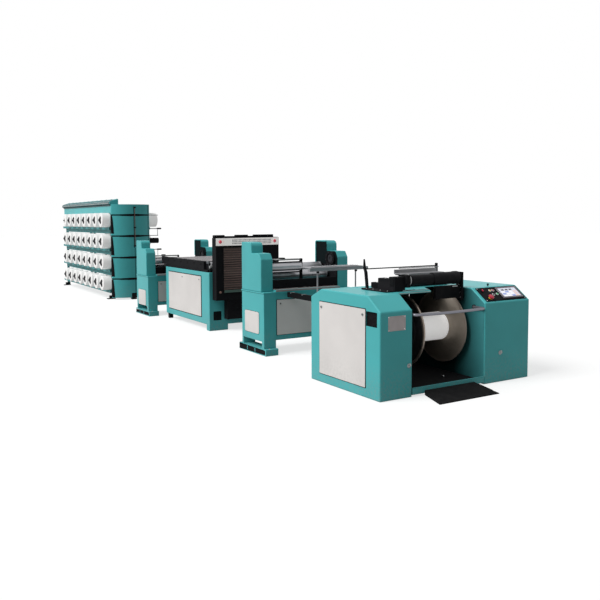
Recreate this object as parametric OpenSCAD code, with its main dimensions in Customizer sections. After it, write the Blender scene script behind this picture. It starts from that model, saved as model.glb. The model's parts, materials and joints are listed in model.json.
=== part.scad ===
// Sectional warping machine line, set out along X from the creel (low X) to the winder (high X).
// Stations in yarn order: creel, first roller stand, heater bench with its yarn sensor cabinet,
// second roller stand, guide table, beam winder. Millimetres, Z up, -Y is the operator's side.

/* [Line] */
// Overall length, from the creel's far end to the front edge of the foot mat
line_length = 13825; // [13400:25:14600]
// Overall width, which is the winder's
line_width = 1970; // [1800:10:2200]
// Thickness of folded sheet in the casings
sheet = 4; // [3:1:8]

/* [Winder] */
// Depth of the winder cabinets
winder_depth = 1136; // [1050:1:1300]
// Height of the winder's flat top
winder_top = 953; // [900:1:1050]
// Height where the upright front ends and the slant starts
winder_front_h = 815; // [760:1:840]
// Run of the front slant
winder_slant = 187; // [140:1:240]
// Run of the rear chamfer
rear_chamfer = 189; // [120:1:240]
// Height of the rear face under its chamfer
winder_rear_h = 864; // [800:1:890]
// Inner face of the left cabinet
bay_left = -595; // [-640:1:-560]
// Inner face of the right cabinet
bay_right = 342; // [338:1:400]

/* [Beam] */
// Diameter of the beam's flanges (30 inch beam)
flange_d = 762; // [680:1:780]
// Width between the flanges (21 inch beam)
beam_width = 533; // [480:1:540]
// Diameter of the wound yarn
yarn_d = 290; // [200:5:700]
// Distance of the beam's axis behind the winder's front face
beam_back = 563; // [540:1:580]
// Height of the beam's axis
beam_z = 531; // [500:1:540]

/* [Roller stands] */
// Outer width over the two pillars
stand_width = 1296; // [1200:2:1400]
// Width of one pillar
pillar_w = 168; // [150:2:190]
// Depth of the lower housing
stand_depth = 574; // [540:2:640]
// Height of the second stand's lower housing
housing_h = 770; // [740:2:800]
// Diameter of a draw roller
roller_d = 116; // [90:2:124]

/* [Heater bench] */
// Length of the bench
bench_length = 1739; // [1600:1:1900]
// Height of the bench's top
bench_h = 872; // [840:2:900]
// Width of the bench
bench_w = 1056; // [900:2:1100]

/* [Creel] */
// Length of the creel frame
creel_length = 3985; // [3900:5:4100]
// Height of the creel frame
creel_h = 1985; // [1960:5:2010]
// Width of the creel frame
creel_w = 821; // [760:1:900]
// Columns of yarn packages on each side
columns = 8; // [6:1:8]
// Distance between the columns
column_pitch = 437; // [420:1:440]
// Diameter of a yarn package
package_d = 300; // [200:5:310]

/* [Hidden] */
$fn = 64;

// Colours of the real finishes
teal = "#4aa5a0";
cream = "#dcd8d6";
black = "#1b1b1d";
steel = "#b9bcc0";
yarn_white = "#f2f0ee";

// Places along the line. Each station is drawn back from its own front face.
winder_x = line_length / 2 - 335;
table_x = winder_x - 1843;
stand2_x = winder_x - 2454;
bench_x = winder_x - 4540;
stand1_x = winder_x - 6615;
creel_x = winder_x - 9420;

// Side faces
left_y = -line_width / 2 + 10;
right_y = line_width / 2;
bench_y = -561;
creel_y = -524;

// Gaps that let one piece turn or slide in another
running = 0.05;
clear = 0.4;

// Small repeated sizes
shaft_d = 60;
chuck_d = 220;
quill_d = 80;
quill_y = -850;
journal_y = -340;
belt_t = 8;
belt_y = 570;
belt_w = 46;
spindle_pulley_r = 150;
motor_pulley_r = 60;
motor_back = 700;
motor_z = 190;
motor_nose = 610;
guide_back = 310;
guide_z = 1056;
comb_back = 640;
comb_z = 1084;
bar_z = 766;
bar_d = 28;
bar_pivot_back = 140;
slant_angle = atan2(winder_top - winder_front_h, winder_slant);

// ---- Helpers ----

// Inward unit normal of the edge a-b of an outline that runs anticlockwise
function inward(a, b) = let (d = (b - a) / norm(b - a)) [-d[1], d[0]];

// Convex outline moved inwards by t
function inset(p, t) = [
    for (i = [0 : len(p) - 1])
        let (
            n = len(p),
            n1 = inward(p[(i + n - 1) % n], p[i]),
            n2 = inward(p[i], p[(i + 1) % n])
        )
        p[i] + t * (n1 + n2) / (1 + n1 * n2)
];

// Rectangle with round corners, centred
module round_rect(size, r) {
    square([size[0] - 2 * r, size[1]], center = true);
    square([size[0], size[1] - 2 * r], center = true);
    for (sx = [-1, 1], sy = [-1, 1])
        translate([sx * (size[0] / 2 - r), sy * (size[1] / 2 - r)])
            circle(r);
}

// Outline in X and Z, made into a slab from y0 to y1
module slab_y(points, y0, y1) {
    translate([0, y1, 0])
        rotate([90, 0, 0])
            linear_extrude(y1 - y0)
                polygon(points);
}

// Box between two corners
module block(low, high) {
    translate(low)
        cube(high - low);
}

// Round bar along Y
module bar_y(d, y0, y1) {
    translate([0, y0, 0])
        rotate([-90, 0, 0])
            cylinder(d = d, h = y1 - y0);
}

// Round bar along X
module bar_x(d, x0, x1) {
    translate([x0, 0, 0])
        rotate([0, 90, 0])
            cylinder(d = d, h = x1 - x0);
}

// Lathe outline of [radius, y] points about the Y axis
module lathe_y(points) {
    rotate([-90, 0, 0])
        rotate_extrude()
            polygon(points);
}

// Closed sheet casing: the outline in X and Z, hollow, from y0 to y1
module casing(points, y0, y1) {
    difference() {
        slab_y(points, y0, y1);
        slab_y(inset(points, sheet), y0 + sheet, y1 - sheet);
    }
}

// Cover panel that stands on a -Y face, with round corners in X and Z
module side_panel(x0, x1, z0, z1, y_face, t, r) {
    translate([(x0 + x1) / 2, y_face, (z0 + z1) / 2])
        rotate([90, 0, 0])
            linear_extrude(t)
                round_rect([x1 - x0, z1 - z0], r);
}

// ---- Winder ----

winder_outline = [
    [0, 0], [0, winder_front_h], [-winder_slant, winder_top],
    [-winder_depth + rear_chamfer, winder_top], [-winder_depth, winder_rear_h], [-winder_depth, 0]
];

door_x = [-970, -213];
door_z = [97, 825];
door_t = 6;
door_lap = 12;
vent_x = [-198, -48];
vent_z = [679, 805];
lock_inset = [38, 52];

module left_cabinet() {
    color(teal)
        translate([winder_x, 0, 0])
            difference() {
                casing(winder_outline, left_y, bay_left);
                block([door_x[0] + door_lap, left_y - 1, door_z[0] + door_lap],
                      [door_x[1] - door_lap, left_y + 2 * sheet, door_z[1] - door_lap]);
                block([vent_x[0], left_y - 1, vent_z[0]], [vent_x[1], left_y + 2 * sheet, vent_z[1]]);
                translate([-beam_back, 0, beam_z])
                    bar_y(quill_d + 40, bay_left - 2 * sheet, bay_left + 1);
            }
}

// The cover's bottom edge is its tilt axis; the two locks sit in its upper corners
module left_door() {
    color(cream)
        translate([winder_x, 0, 0])
            difference() {
                side_panel(door_x[0], door_x[1], door_z[0], door_z[1], left_y, door_t, 8);
                for (x = [door_x[0] + lock_inset[0], door_x[1] - lock_inset[0]])
                    translate([x, 0, door_z[1] - lock_inset[1]])
                        bar_y(16 + 2 * running, left_y - door_t - 1, left_y + 1);
            }
}

// Quarter-turn lock: slotted head outside, stem through the cover
module door_lock(x) {
    color(steel)
        translate([winder_x + x, 0, door_z[1] - lock_inset[1]])
            difference() {
                union() {
                    bar_y(26, left_y - door_t - 4, left_y - door_t);
                    bar_y(16, left_y - door_t, left_y);
                }
                block([-9, left_y - door_t - 5, -2], [9, left_y - door_t - 2, 2]);
            }
}

module right_cabinet() {
    color(teal)
        translate([winder_x, 0, 0])
            difference() {
                casing(winder_outline, bay_right, right_y);
                translate([-beam_back, 0, beam_z])
                    bar_y(170, bay_right - 1, bay_right + 2 * sheet);
                console_place()
                    for (p = button_places)
                        translate([p[0], p[1], -2 * sheet])
                            cylinder(d = 24, h = 3 * sheet);
            }
}

// Floor of the beam bay, its front sill and the round drain plug
module bay_tray() {
    color(black)
        translate([winder_x, 0, 0]) {
            block([-winder_depth + sheet, bay_left, 40], [-14, bay_right, 46]);
            block([-14, bay_left, 20], [0, bay_right, 82]);
            translate([-330, 110, 46])
                cylinder(d = 34, h = 8);
        }
}

// Folded cover that closes the back of the bay and its rear top. On the left it runs on as a
// shelf over the beam's flange, with an oval hand slot, a skew right edge and turned-down lips.
module rear_cover() {
    top_edge = -520;
    shelf_x = -240;
    near_y = -150;
    far_y = 18;
    lip = 20;
    slot_d = 44;
    t = sheet;
    outer = [
        [top_edge, winder_top], [-winder_depth + rear_chamfer, winder_top],
        [-winder_depth, winder_rear_h], [-winder_depth, 0]
    ];
    inner = [
        [-winder_depth + t, 0], [-winder_depth + t, winder_rear_h - t * tan((90 - 25.2) / 2)],
        [-winder_depth + rear_chamfer, winder_top - t], [top_edge, winder_top - t]
    ];
    color(teal)
        translate([winder_x, 0, 0])
            union() {
                slab_y(concat(outer, inner), bay_left, bay_right);
                difference() {
                    translate([0, 0, winder_top - t])
                        linear_extrude(t)
                            polygon([
                                [top_edge, bay_left], [shelf_x, bay_left],
                                [shelf_x, near_y], [top_edge, far_y]
                            ]);
                    hull()
                        for (y = [-360, -260])
                            translate([-360, y, winder_top - t - 1])
                                cylinder(d = slot_d, h = t + 2);
                }
                translate([0, 0, winder_top - lip])
                    linear_extrude(lip - t)
                        polygon([
                            [shelf_x - t, bay_left], [shelf_x, bay_left], [shelf_x, near_y],
                            [top_edge, far_y], [top_edge, far_y - 1.2 * t],
                            [shelf_x - t, near_y - 0.6 * t]
                        ]);
            }
}

// ---- Beam drive and tailstock ----

module main_motor() {
    color("#3b4a58")
        translate([winder_x - motor_back, 0, motor_z]) {
            block([-110, 640, -motor_z + sheet], [110, 900, -100]);
            bar_y(210, motor_nose + 15, 930);
            bar_y(150, motor_nose, motor_nose + 15);
        }
}

module motor_pulley() {
    color(steel)
        translate([winder_x - motor_back, 0, motor_z]) {
            bar_y(2 * motor_pulley_r, belt_y - 30, belt_y + 30);
            bar_y(38, belt_y + 30, motor_nose - 1);
        }
}

// Belt outline in X and Z about two pulleys: round the arcs and along both tangents
module belt_outline(grow) {
    d = [beam_back - motor_back, motor_z - beam_z];
    r1 = spindle_pulley_r + grow;
    r2 = motor_pulley_r + grow;
    centre_angle = atan2(d[1], d[0]);
    spread = acos((r1 - r2) / norm(d));
    circle(r1);
    translate(d)
        circle(r2);
    polygon([
        for (s = [1, -1])
            r1 * [cos(centre_angle + s * spread), sin(centre_angle + s * spread)],
        for (s = [-1, 1])
            d + r2 * [cos(centre_angle + s * spread), sin(centre_angle + s * spread)]
    ]);
}

module drive_belt() {
    color(black)
        translate([winder_x - beam_back, belt_y + belt_w / 2, beam_z])
            rotate([90, 0, 0])
                linear_extrude(belt_w)
                    difference() {
                        belt_outline(clear + belt_t);
                        belt_outline(clear);
                    }
}

// Flanged bearing sleeve bolted inside the right cabinet's wall
module spindle_housing() {
    color("#2f3436")
        translate([winder_x - beam_back, 0, beam_z])
            lathe_y([
                [45 + running, bay_right + sheet], [120, bay_right + sheet],
                [120, bay_right + sheet + 18], [80, bay_right + sheet + 18],
                [80, belt_y - 60], [45 + running, belt_y - 60]
            ]);
}

// Chuck plate, shaft and driven pulley
module drive_spindle() {
    hub_end = beam_width / 2 + 34;
    color(steel)
        translate([winder_x - beam_back, 0, beam_z]) {
            lathe_y([
                [0, hub_end], [chuck_d / 2, hub_end], [chuck_d / 2, bay_right - 6],
                [45, bay_right - 6], [45, belt_y - 40], [spindle_pulley_r, belt_y - 30],
                [spindle_pulley_r, belt_y + 30], [0, belt_y + 30]
            ]);
            for (a = [0 : 60 : 300])
                rotate([0, a, 0])
                    translate([80, 0, 0])
                        bar_y(18, hub_end - 9, hub_end + 5);
        }
}

module beam_barrel() {
    color(steel)
        translate([winder_x - beam_back, 0, beam_z]) {
            bar_y(130, -beam_width / 2, beam_width / 2);
            bar_y(shaft_d, journal_y, -beam_width / 2);
            bar_y(shaft_d, beam_width / 2, beam_width / 2 + 34);
        }
}

// Flange: flat inner face, thin web, thick rim and a hub on the outside
module flange(side) {
    r = flange_d / 2;
    face = beam_width / 2;
    color("#8e8a84")
        translate([winder_x - beam_back, 0, beam_z])
            mirror([0, side < 0 ? 1 : 0, 0])
                difference() {
                    lathe_y([
                        [shaft_d / 2, face], [r - 4, face], [r, face + 4], [r, face + 18],
                        [r - 4, face + 22], [r - 20, face + 22], [r - 24, face + 12],
                        [110, face + 12], [100, face + 34], [shaft_d / 2, face + 34]
                    ]);
                    for (a = [0 : 60 : 300])
                        rotate([0, a, 0])
                            translate([80, 0, 0])
                                bar_y(18 + 2 * clear, face + 24, face + 35);
                }
}

module yarn_roll() {
    color(yarn_white)
        translate([winder_x - beam_back, 0, beam_z])
            difference() {
                bar_y(yarn_d, -beam_width / 2, beam_width / 2);
                bar_y(130, -beam_width / 2 - 1, beam_width / 2 + 1);
            }
}

// Flanged guide sleeve for the tail quill, through the left cabinet's bay wall
module tail_sleeve() {
    r = quill_d / 2;
    color("#2f3436")
        translate([winder_x - beam_back, 0, beam_z])
            lathe_y([
                [r + running, -800], [r + 18, -800], [r + 18, bay_left],
                [r + 55, bay_left], [r + 55, bay_left + 16], [r + 18, bay_left + 22],
                [r + 18, bay_left + 60], [r + running, bay_left + 60]
            ]);
}

// Quill whose cup carries the beam's left journal
module tail_quill() {
    r = quill_d / 2;
    cup = 30;
    color(steel)
        translate([winder_x - beam_back, 0, beam_z])
            lathe_y([
                [0, quill_y], [r, quill_y], [r, journal_y + cup], [shaft_d / 2 + running, journal_y + cup],
                [shaft_d / 2 + running, journal_y - 2], [0, journal_y - 2]
            ]);
}

// ---- Yarn guides on the winder ----

module guide_roller() {
    color(black)
        translate([winder_x - guide_back, 0, guide_z]) {
            bar_y(132, 200, 258);
            bar_y(124, -80, 200);
            bar_y(102, -366, -80);
            bar_y(24, -420, -366);
            bar_y(24, 258, 306);
        }
}

// Stepped bracket on a base plate that rests on the cabinet's top
module roller_arm_left() {
    plate_z = winder_top + 12;
    color(black)
        translate([winder_x, 0, 0])
            difference() {
                union() {
                    block([-668, -680, winder_top], [-285, -470, plate_z]);
                    block([-365, -440, 990], [-255, -400, 1112]);
                    block([-372, -575, plate_z], [-285, -440, 1096]);
                    block([-560, -560, plate_z], [-372, -470, 1072]);
                    block([-690, -545, plate_z], [-560, -485, 1020]);
                }
                translate([-guide_back, 0, guide_z])
                    bar_y(24 + 2 * running, -421, -399);
            }
}

module roller_arm_right() {
    color(black)
        translate([winder_x, 0, 0])
            difference() {
                union() {
                    block([-352, 290, 826], [-266, 312, 1112]);
                    block([-470, 290, 840], [-352, 312, 930]);
                    block([-470, 312, 840], [-290, bay_right, 920]);
                }
                translate([-guide_back, 0, guide_z])
                    bar_y(24 + 2 * running, 289, 313);
            }
}

// Cross beam over the bay with two uprights and the flat rail that the reed runs on
module comb_rail() {
    color(black)
        translate([winder_x - comb_back, 0, 0]) {
            block([-30, -470, winder_top], [30, 420, winder_top + 50]);
            for (y = [-200, 320])
                block([-15, y - 20, winder_top + 50], [15, y + 20, comb_z - 6]);
            block([-35, -250, comb_z - 6], [35, 370, comb_z]);
        }
}

// Traversing reed: a folded aluminium holder with a lip, on the rail
module comb_reed() {
    color(steel)
        translate([winder_x - comb_back, 0, 0]) {
            block([-70, -232, comb_z + clear], [60, 346, comb_z + 10]);
            block([52, -232, comb_z - 22], [60, 346, comb_z + clear]);
            block([-70, -232, comb_z + 10], [-62, 346, comb_z + 46]);
        }
}

// Leaning black post with a pointed head, and the thin scanning rod to its far post
module filament_detector() {
    rod_z = 1150;
    color(black)
        translate([winder_x, 0, 0]) {
            slab_y([
                [-684, winder_top], [-706, 1120], [-730, 1160], [-750, 1250], [-756, 1160],
                [-738, 1120], [-712, winder_top]
            ], -594, -572);
            block([-712, -650, winder_top], [-695, -572, winder_top + 12]);
            translate([-736, 0, rod_z])
                bar_y(12, -572, 366);
            block([-748, 366, winder_top], [-724, 390, rod_z + 28]);
        }
}

// Guard bar across the bay: ball elbows turn it back to its pivots on the cabinet walls
module safety_bar() {
    front = 16;
    ends = [bay_left + 16.5, bay_right - 16.5];
    color(steel)
        translate([winder_x, 0, 0]) {
            translate([front, 0, bar_z])
                bar_y(bar_d, ends[0], ends[1]);
            for (y = ends) {
                translate([front, y, bar_z])
                    sphere(d = bar_d + 2);
                translate([0, y, bar_z])
                    bar_x(bar_d, -bar_pivot_back, front);
            }
            translate([-bar_pivot_back, 0, bar_z]) {
                bar_y(44, bay_left + clear, bay_left + 32);
                bar_y(44, bay_right - 32, bay_right - clear);
            }
        }
}

// Ribbed rubber mat that slopes from the sill to the floor in front of the bay
module foot_mat() {
    front = 335;
    back_h = 44;
    rib_h = 4;
    rib_pitch = 15;
    span = [-566, 210];
    color(black)
        translate([winder_x, 0, 0])
            intersection() {
                union() {
                    slab_y([[0, 0], [front, 0], [front, 5], [0, back_h]], span[0], span[1]);
                    for (y = [span[0] + rib_pitch / 2 : rib_pitch : span[1] - rib_pitch / 2])
                        slab_y([[0, back_h - 1], [front, 4], [front, 5 + rib_h], [0, back_h + rib_h]],
                               y, y + rib_pitch / 2);
                }
                linear_extrude(2 * back_h)
                    polygon([[0, -440], [front, span[0]], [front, 187], [0, 205]]);
            }
}

// ---- Console on the right cabinet's slant ----

console_y = [378, 955];
button_places = [[465, 60], [588, 168], [604, 112]];

// Frame with X along the row's Y, Y up the slant and Z out of it
module console_place() {
    multmatrix([
        [0, -cos(slant_angle), sin(slant_angle), 0],
        [1, 0, 0, 0],
        [0, sin(slant_angle), cos(slant_angle), winder_front_h],
        [0, 0, 0, 1]
    ])
        children();
}

module console_panel() {
    color(black)
        translate([winder_x, 0, 0])
            console_place()
                difference() {
                    translate([(console_y[0] + console_y[1]) / 2, 117, 0])
                        linear_extrude(4)
                            round_rect([console_y[1] - console_y[0], 200], 6);
                    for (p = button_places)
                        translate([p[0], p[1], -1])
                            cylinder(d = 24, h = 6);
                }
}

module touch_screen() {
    color("#cfd6e4")
        translate([winder_x, 0, 0])
            console_place()
                translate([786, 122, 4])
                    linear_extrude(9)
                        round_rect([290, 160], 5);
}

// Mushroom or flat push button through the console, of cap radius r and cap height h
module push_button(place, r, stem, h) {
    translate([winder_x, 0, 0])
        console_place()
            translate([place[0], place[1], 0])
                rotate_extrude()
                    polygon([
                        [0, -20], [11.9, -20], [11.9, 4 + stem], [r, 4 + stem],
                        [r, 4 + stem + h * 0.5], [r * 0.75, 4 + stem + h], [0, 4 + stem + h]
                    ]);
}

// Small T-handle latch on a cabinet's front face
module front_latch(y, z) {
    color(steel)
        translate([winder_x, y, z]) {
            bar_x(16, 0, 14);
            translate([14, 0, 0])
                difference() {
                    bar_x(34, 0, 6);
                    block([2, -20, -30], [7, 20, -6]);
                }
            block([14, -5, -6], [26, 5, 22]);
        }
}

// ---- Guide table between the second stand and the winder ----

module guide_table() {
    ends = [-520, 232];
    plate_z = 1083;
    rail = [-60, -15];
    color("#c4c7c8")
        translate([table_x, 0, 0]) {
            block([-215, ends[0], plate_z], [0, ends[1], plate_z + 12]);
            block([rail[0], ends[0], plate_z - 34], [rail[1], ends[1] + 90, plate_z]);
            for (y = [-400, 148])
                translate([(rail[0] + rail[1]) / 2, y, 0]) {
                    translate([0, 0, 14])
                        cylinder(d = 18, h = plate_z - 34 - 14);
                    cylinder(d = 90, h = 14);
                }
        }
}

// Flat cable duct from the second stand's base to the winder's back
module cable_duct() {
    color(black)
        translate([stand2_x, 0, 0])
            block([0, -466, 698], [winder_x - winder_depth - stand2_x, -416, 760]);
}

// ---- Roller stands ----

skid_h = 82;
slot_top = 165;
base_z = 175;
tray_h = 24;
hood_front = 67;
hood_step = 313;
hood_low = 469;
hood_high = 602;
stand_in = stand_width / 2 - pillar_w;

// Each stand: [front face in X, middle in Y, height of its lower housing, drop of its rollers]
stand1 = [stand1_x, -112, housing_h - 80, 45];
stand2 = [stand2_x, -150, housing_h, 0];

// Each draw roller: [place in X, height over the lower housing before the drop, right end]
upper_end = -40;
rollers = [
    [-150, 300, upper_end],
    [-430, 264, stand_in - 34],
    [-290, 180, stand_in - 34]
];

// Both sides of a stand, the second one mirrored
module both_sides() {
    children();
    mirror([0, 1, 0])
        children();
}

// Lower housing: two hollow pillars on channel skids, the hollow base box and its tray
module stand_housing(stand) {
    half = stand_width / 2;
    top = stand[2];
    t = sheet;
    color(teal)
        translate([stand[0], stand[1], 0])
            difference() {
                union() {
                    both_sides()
                        block([-stand_depth, stand_in, skid_h], [0, half, top]);
                    both_sides()
                        block([-stand_depth - 70, stand_in - 4, 0], [55, half + 4, skid_h]);
                    block([-stand_depth + 30, -stand_in, base_z], [-12, stand_in, top + tray_h]);
                    block([-12, -stand_in, top - 14], [0, stand_in, top + tray_h]);
                }
                both_sides() {
                    block([-stand_depth + 40, stand_in - 1, skid_h], [-58, half + 1, slot_top]);
                    block([-stand_depth + t, stand_in + t, slot_top + t], [-t, half - t, top - t]);
                    block([-stand_depth - 71, half - 40, 12], [15, half + 5, skid_h - 12]);
                }
                block([-stand_depth + 30 + t, -stand_in + t, base_z + t],
                      [-12 - t, stand_in - t, top + tray_h - t]);
            }
}

// One hood's outline: tall rear part with a round front edge, lower front part with a chamfer
function hood_outline(top) =
    let (low = top + hood_low, high = top + hood_high, r = 60)
    concat(
        [[-hood_front, top], [-hood_front, low - 74], [-hood_front - 50, low], [-hood_step, low]],
        [
            for (a = [0 : 15 : 90])
                [-hood_step - r + r * cos(a), high - r + r * sin(a)]
        ],
        [[-stand_depth, high], [-stand_depth, top]]
    );

// Two hollow hoods whose inner walls carry the rollers' journals
module stand_hoods(stand) {
    half = stand_width / 2;
    color(teal)
        translate([stand[0], stand[1], 0])
            difference() {
                union() {
                    casing(hood_outline(stand[2]), stand_in, half);
                    casing(hood_outline(stand[2]), -half, -stand_in);
                }
                for (r = rollers)
                    translate([r[0], 0, r[1] + stand[2] - stand[3]])
                        bar_y(30 + 2 * running, -half + 40, r[2] > 0 ? half - 40 : 0);
            }
}

// Cream cover on the base box, with the stub of its lock in each upper corner
module stand_panel(stand) {
    bottom = base_z + 65;
    panel_top = stand[2] - 99;
    panel_t = 8;
    color(cream)
        translate([stand[0] - 12, stand[1], 0]) {
            block([0, -460, bottom], [panel_t, 460, panel_top]);
            for (y = [-412, 412])
                translate([0, y, panel_top - 46])
                    bar_x(22, panel_t, panel_t + 4);
        }
}

// Draw roller with its journals; the upper one ends at the middle bracket
module draw_roller(stand, i) {
    r = rollers[i];
    journal = r[2] > 0 ? stand_in + 40 : r[2] + 23;
    color(steel)
        translate([stand[0] + r[0], stand[1], stand[2] + r[1] - stand[3]]) {
            bar_y(roller_d, -stand_in + 8, r[2]);
            bar_y(30, -stand_in - 40, -stand_in + 8);
            bar_y(30, r[2], journal);
        }
}

// Cross beam between the hoods with the upper roller's bracket, rail and end plate, and on the
// right the backing plate and the round bearing cover
module roller_supports() {
    bracket = [upper_end + 11, upper_end + 23];
    color(black)
        for (stand = [stand1, stand2])
            translate([stand[0], stand[1], stand[2]])
                let (drop = stand[3])
                difference() {
                    union() {
                        block([-110, -stand_in, 31], [-72, stand_in, 140]);
                        block([-180, bracket[0], 31], [-110, bracket[1], 105]);
                        block([-180, bracket[0], 105], [-120, bracket[1], 392 - drop]);
                        block([-175, -stand_in, 216 - drop], [-125, bracket[0], 230 - drop]);
                        block([-205, -stand_in, 374 - drop], [-100, bracket[0], 382 - drop]);
                        block([-560, stand_in - 5, tray_h], [-72, stand_in, 300]);
                        translate([-204, 0, 369 - drop])
                            bar_y(196, stand_in - 30, stand_in);
                    }
                    translate([-204, 0, 369 - drop])
                        bar_y(124, stand_in - 31, stand_in - 12);
                    translate([rollers[0][0], 0, rollers[0][1] - drop])
                        bar_y(30 + 2 * running, bracket[0] - 1, bracket[1] + 1);
                    for (i = [1, 2])
                        translate([rollers[i][0], 0, rollers[i][1] - drop])
                            bar_y(44, stand_in - 6, stand_in + 1);
                }
}

// ---- Heater bench ----

bench_door_x = [-1593, -287];
bench_door_z = [191, 799];

module bench_cabinet() {
    foot = 70;
    color(teal)
        translate([bench_x, bench_y, 0])
            difference() {
                union() {
                    block([-bench_length, 0, 88], [0, bench_w, bench_h]);
                    for (y = [[0, 308], [bench_w - 308, bench_w]])
                        block([-110, y[0], 0], [0, y[1], 88]);
                    for (y = [20, bench_w - 20 - foot])
                        block([-bench_length + 20, y, 0], [-bench_length + 20 + foot, y + foot, 88]);
                }
                block([-bench_length + sheet, sheet, 88 + sheet], [-sheet, bench_w - sheet, bench_h - sheet]);
                block([bench_door_x[0] + 14, -1, bench_door_z[0] + 14],
                      [bench_door_x[1] - 14, 2 * sheet, bench_door_z[1] - 14]);
            }
}

module bench_door() {
    color(cream)
        translate([bench_x, 0, 0])
            side_panel(bench_door_x[0], bench_door_x[1], bench_door_z[0], bench_door_z[1], bench_y, 8, 10);
}

// Two black side rails with their plinths, on the bench top
module bench_rails() {
    color(black)
        translate([bench_x, bench_y, 0])
            for (y = [0, bench_w - 66]) {
                block([-bench_length - 20, y + 6, bench_h], [-60, y + 60, bench_h + 36]);
                block([-bench_length - 190, y, bench_h + 36], [-185, y + 66, bench_h + 160]);
                block([-185, y + 40, bench_h + 36], [-100, y + 66, bench_h + 130]);
            }
}

// Flat yarn heater between the rails
module hot_plate() {
    color("#a9aaa8")
        translate([bench_x, bench_y, 0])
            difference() {
                union() {
                    block([-bench_length + 40, 90, bench_h], [-330, bench_w - 90, bench_h + 130]);
                    block([-bench_length - 10, 66, bench_h + 130], [-300, bench_w - 66, bench_h + 150]);
                }
                block([-bench_length + 50, 100, bench_h - 1], [-340, bench_w - 100, bench_h + 120]);
            }
}

module bench_roller() {
    color(steel)
        translate([bench_x - 142, bench_y, bench_h + 95]) {
            bar_y(100, 80, bench_w - 80);
            bar_y(28, 66 + clear, 80);
            bar_y(28, bench_w - 80, bench_w - 66 - clear);
        }
}

// ---- Yarn sensor cabinet on the bench's end ----

tower_depth = 136;
tower_y = [-508, 557];
tower_z = [463, 1387];
slat_y = [-382, 262];
slat_z = [633, 1208];

module sensor_frame() {
    color(black)
        translate([bench_x, 0, 0])
            difference() {
                union() {
                    block([0, tower_y[0], tower_z[0]], [tower_depth, tower_y[1], tower_z[1]]);
                    for (span = [[-508, -330], [-150, 60], [160, 500]])
                        block([20, span[0], tower_z[1]], [70, span[1], tower_z[1] + 40]);
                    block([20, -508, tower_z[1]], [50, 500, tower_z[1] + 22]);
                    block([0, -320, 172], [tower_depth - 20, 250, tower_z[0]]);
                }
                block([40, slat_y[0], slat_z[0] - 70], [tower_depth + 1, slat_y[1], slat_z[1] + 40]);
            }
}

// Horizontal yarn guide slats in the cabinet's window, on two side strips
module slat_curtain() {
    slats = 19;
    pitch = (slat_z[1] - slat_z[0]) / slats;
    color("#4a3430")
        translate([bench_x + 40, 0, 0]) {
            for (i = [0 : slats - 1])
                block([6, slat_y[0], slat_z[0] + i * pitch],
                      [36, slat_y[1], slat_z[0] + i * pitch + 0.55 * pitch]);
            block([0, slat_y[0], slat_z[0] - 60], [6, slat_y[1], slat_z[1] + 30]);
            block([6, slat_y[0], slat_z[0] - 60], [80, slat_y[1], slat_z[0] - 20]);
        }
}

// Pale fascia with a round lamp at each end and a field of small windows
module display_strip() {
    z = [1271, 1381];
    color(cream)
        translate([bench_x + tower_depth, 0, 0]) {
            block([0, tower_y[0], z[0]], [6, tower_y[1], z[1]]);
            for (y = [-440, 480])
                translate([0, y, 1328])
                    bar_x(44, 6, 18);
        }
}

// ---- Creel ----

tier_z = [340, 776, 1213, 1659];
first_column = 238;
post = 50;
post_in = 40;
posts_x = [
    -creel_length, -first_column - (columns / 2 - 0.5) * column_pitch - post / 2, -165 - post
];
package_length = 190;
package_out = 164;
far_shift = 60;
tube_r = 55;
gutter_drop = 204;

// Open frame: posts, tie beams, gutters under each tier, peg rails and the upper side panels.
// The middle posts hang from the beams and end at the lowest gutter.
module creel_frame() {
    inner = [post_in, creel_w - post_in - post];
    t = sheet;
    color(teal)
        translate([creel_x, creel_y, 0]) {
            for (i = [0 : 2], y = inner)
                block([posts_x[i], y, i == 1 ? tier_z[0] - gutter_drop : 0],
                      [posts_x[i] + post, y + post, creel_h - post]);
            for (y = inner)
                block([-creel_length, y, creel_h - post], [-60, y + post, creel_h]);
            for (x = posts_x)
                block([x, inner[0] + post, creel_h - post], [x + post, inner[1], creel_h]);
            for (z = tier_z, y = inner, i = [0, 1])
                block([posts_x[i] + post, y + 10, z - 15], [posts_x[i + 1], y + 40, z + 15]);
            for (side = [0, 1])
                translate([0, side * creel_w, 0])
                    mirror([0, side, 0]) {
                        for (i = [0 : 3])
                            gutter(tier_z[i], i > 0 ? 80 : 0);
                        block([-creel_length, 0, 1813], [-60, t, creel_h]);
                        block([-creel_length, t, creel_h - t], [-60, post_in, creel_h]);
                    }
        }
}

// Gutter under a tier of axis height z: a low lip in front, a base, and a back wall on the posts
// that hangs below the base by `skirt`, down to the next tier's packages
module gutter(z, skirt) {
    t = sheet;
    face = -36;
    base = z - gutter_drop;
    block([-creel_length, face, base], [-60, face + t, z - package_d / 2 - 4]);
    block([-creel_length, face + t, base], [-60, post_in - t, base + t]);
    block([-creel_length, post_in - t, base - skirt], [-60, post_in, z - 90]);
}

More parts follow.
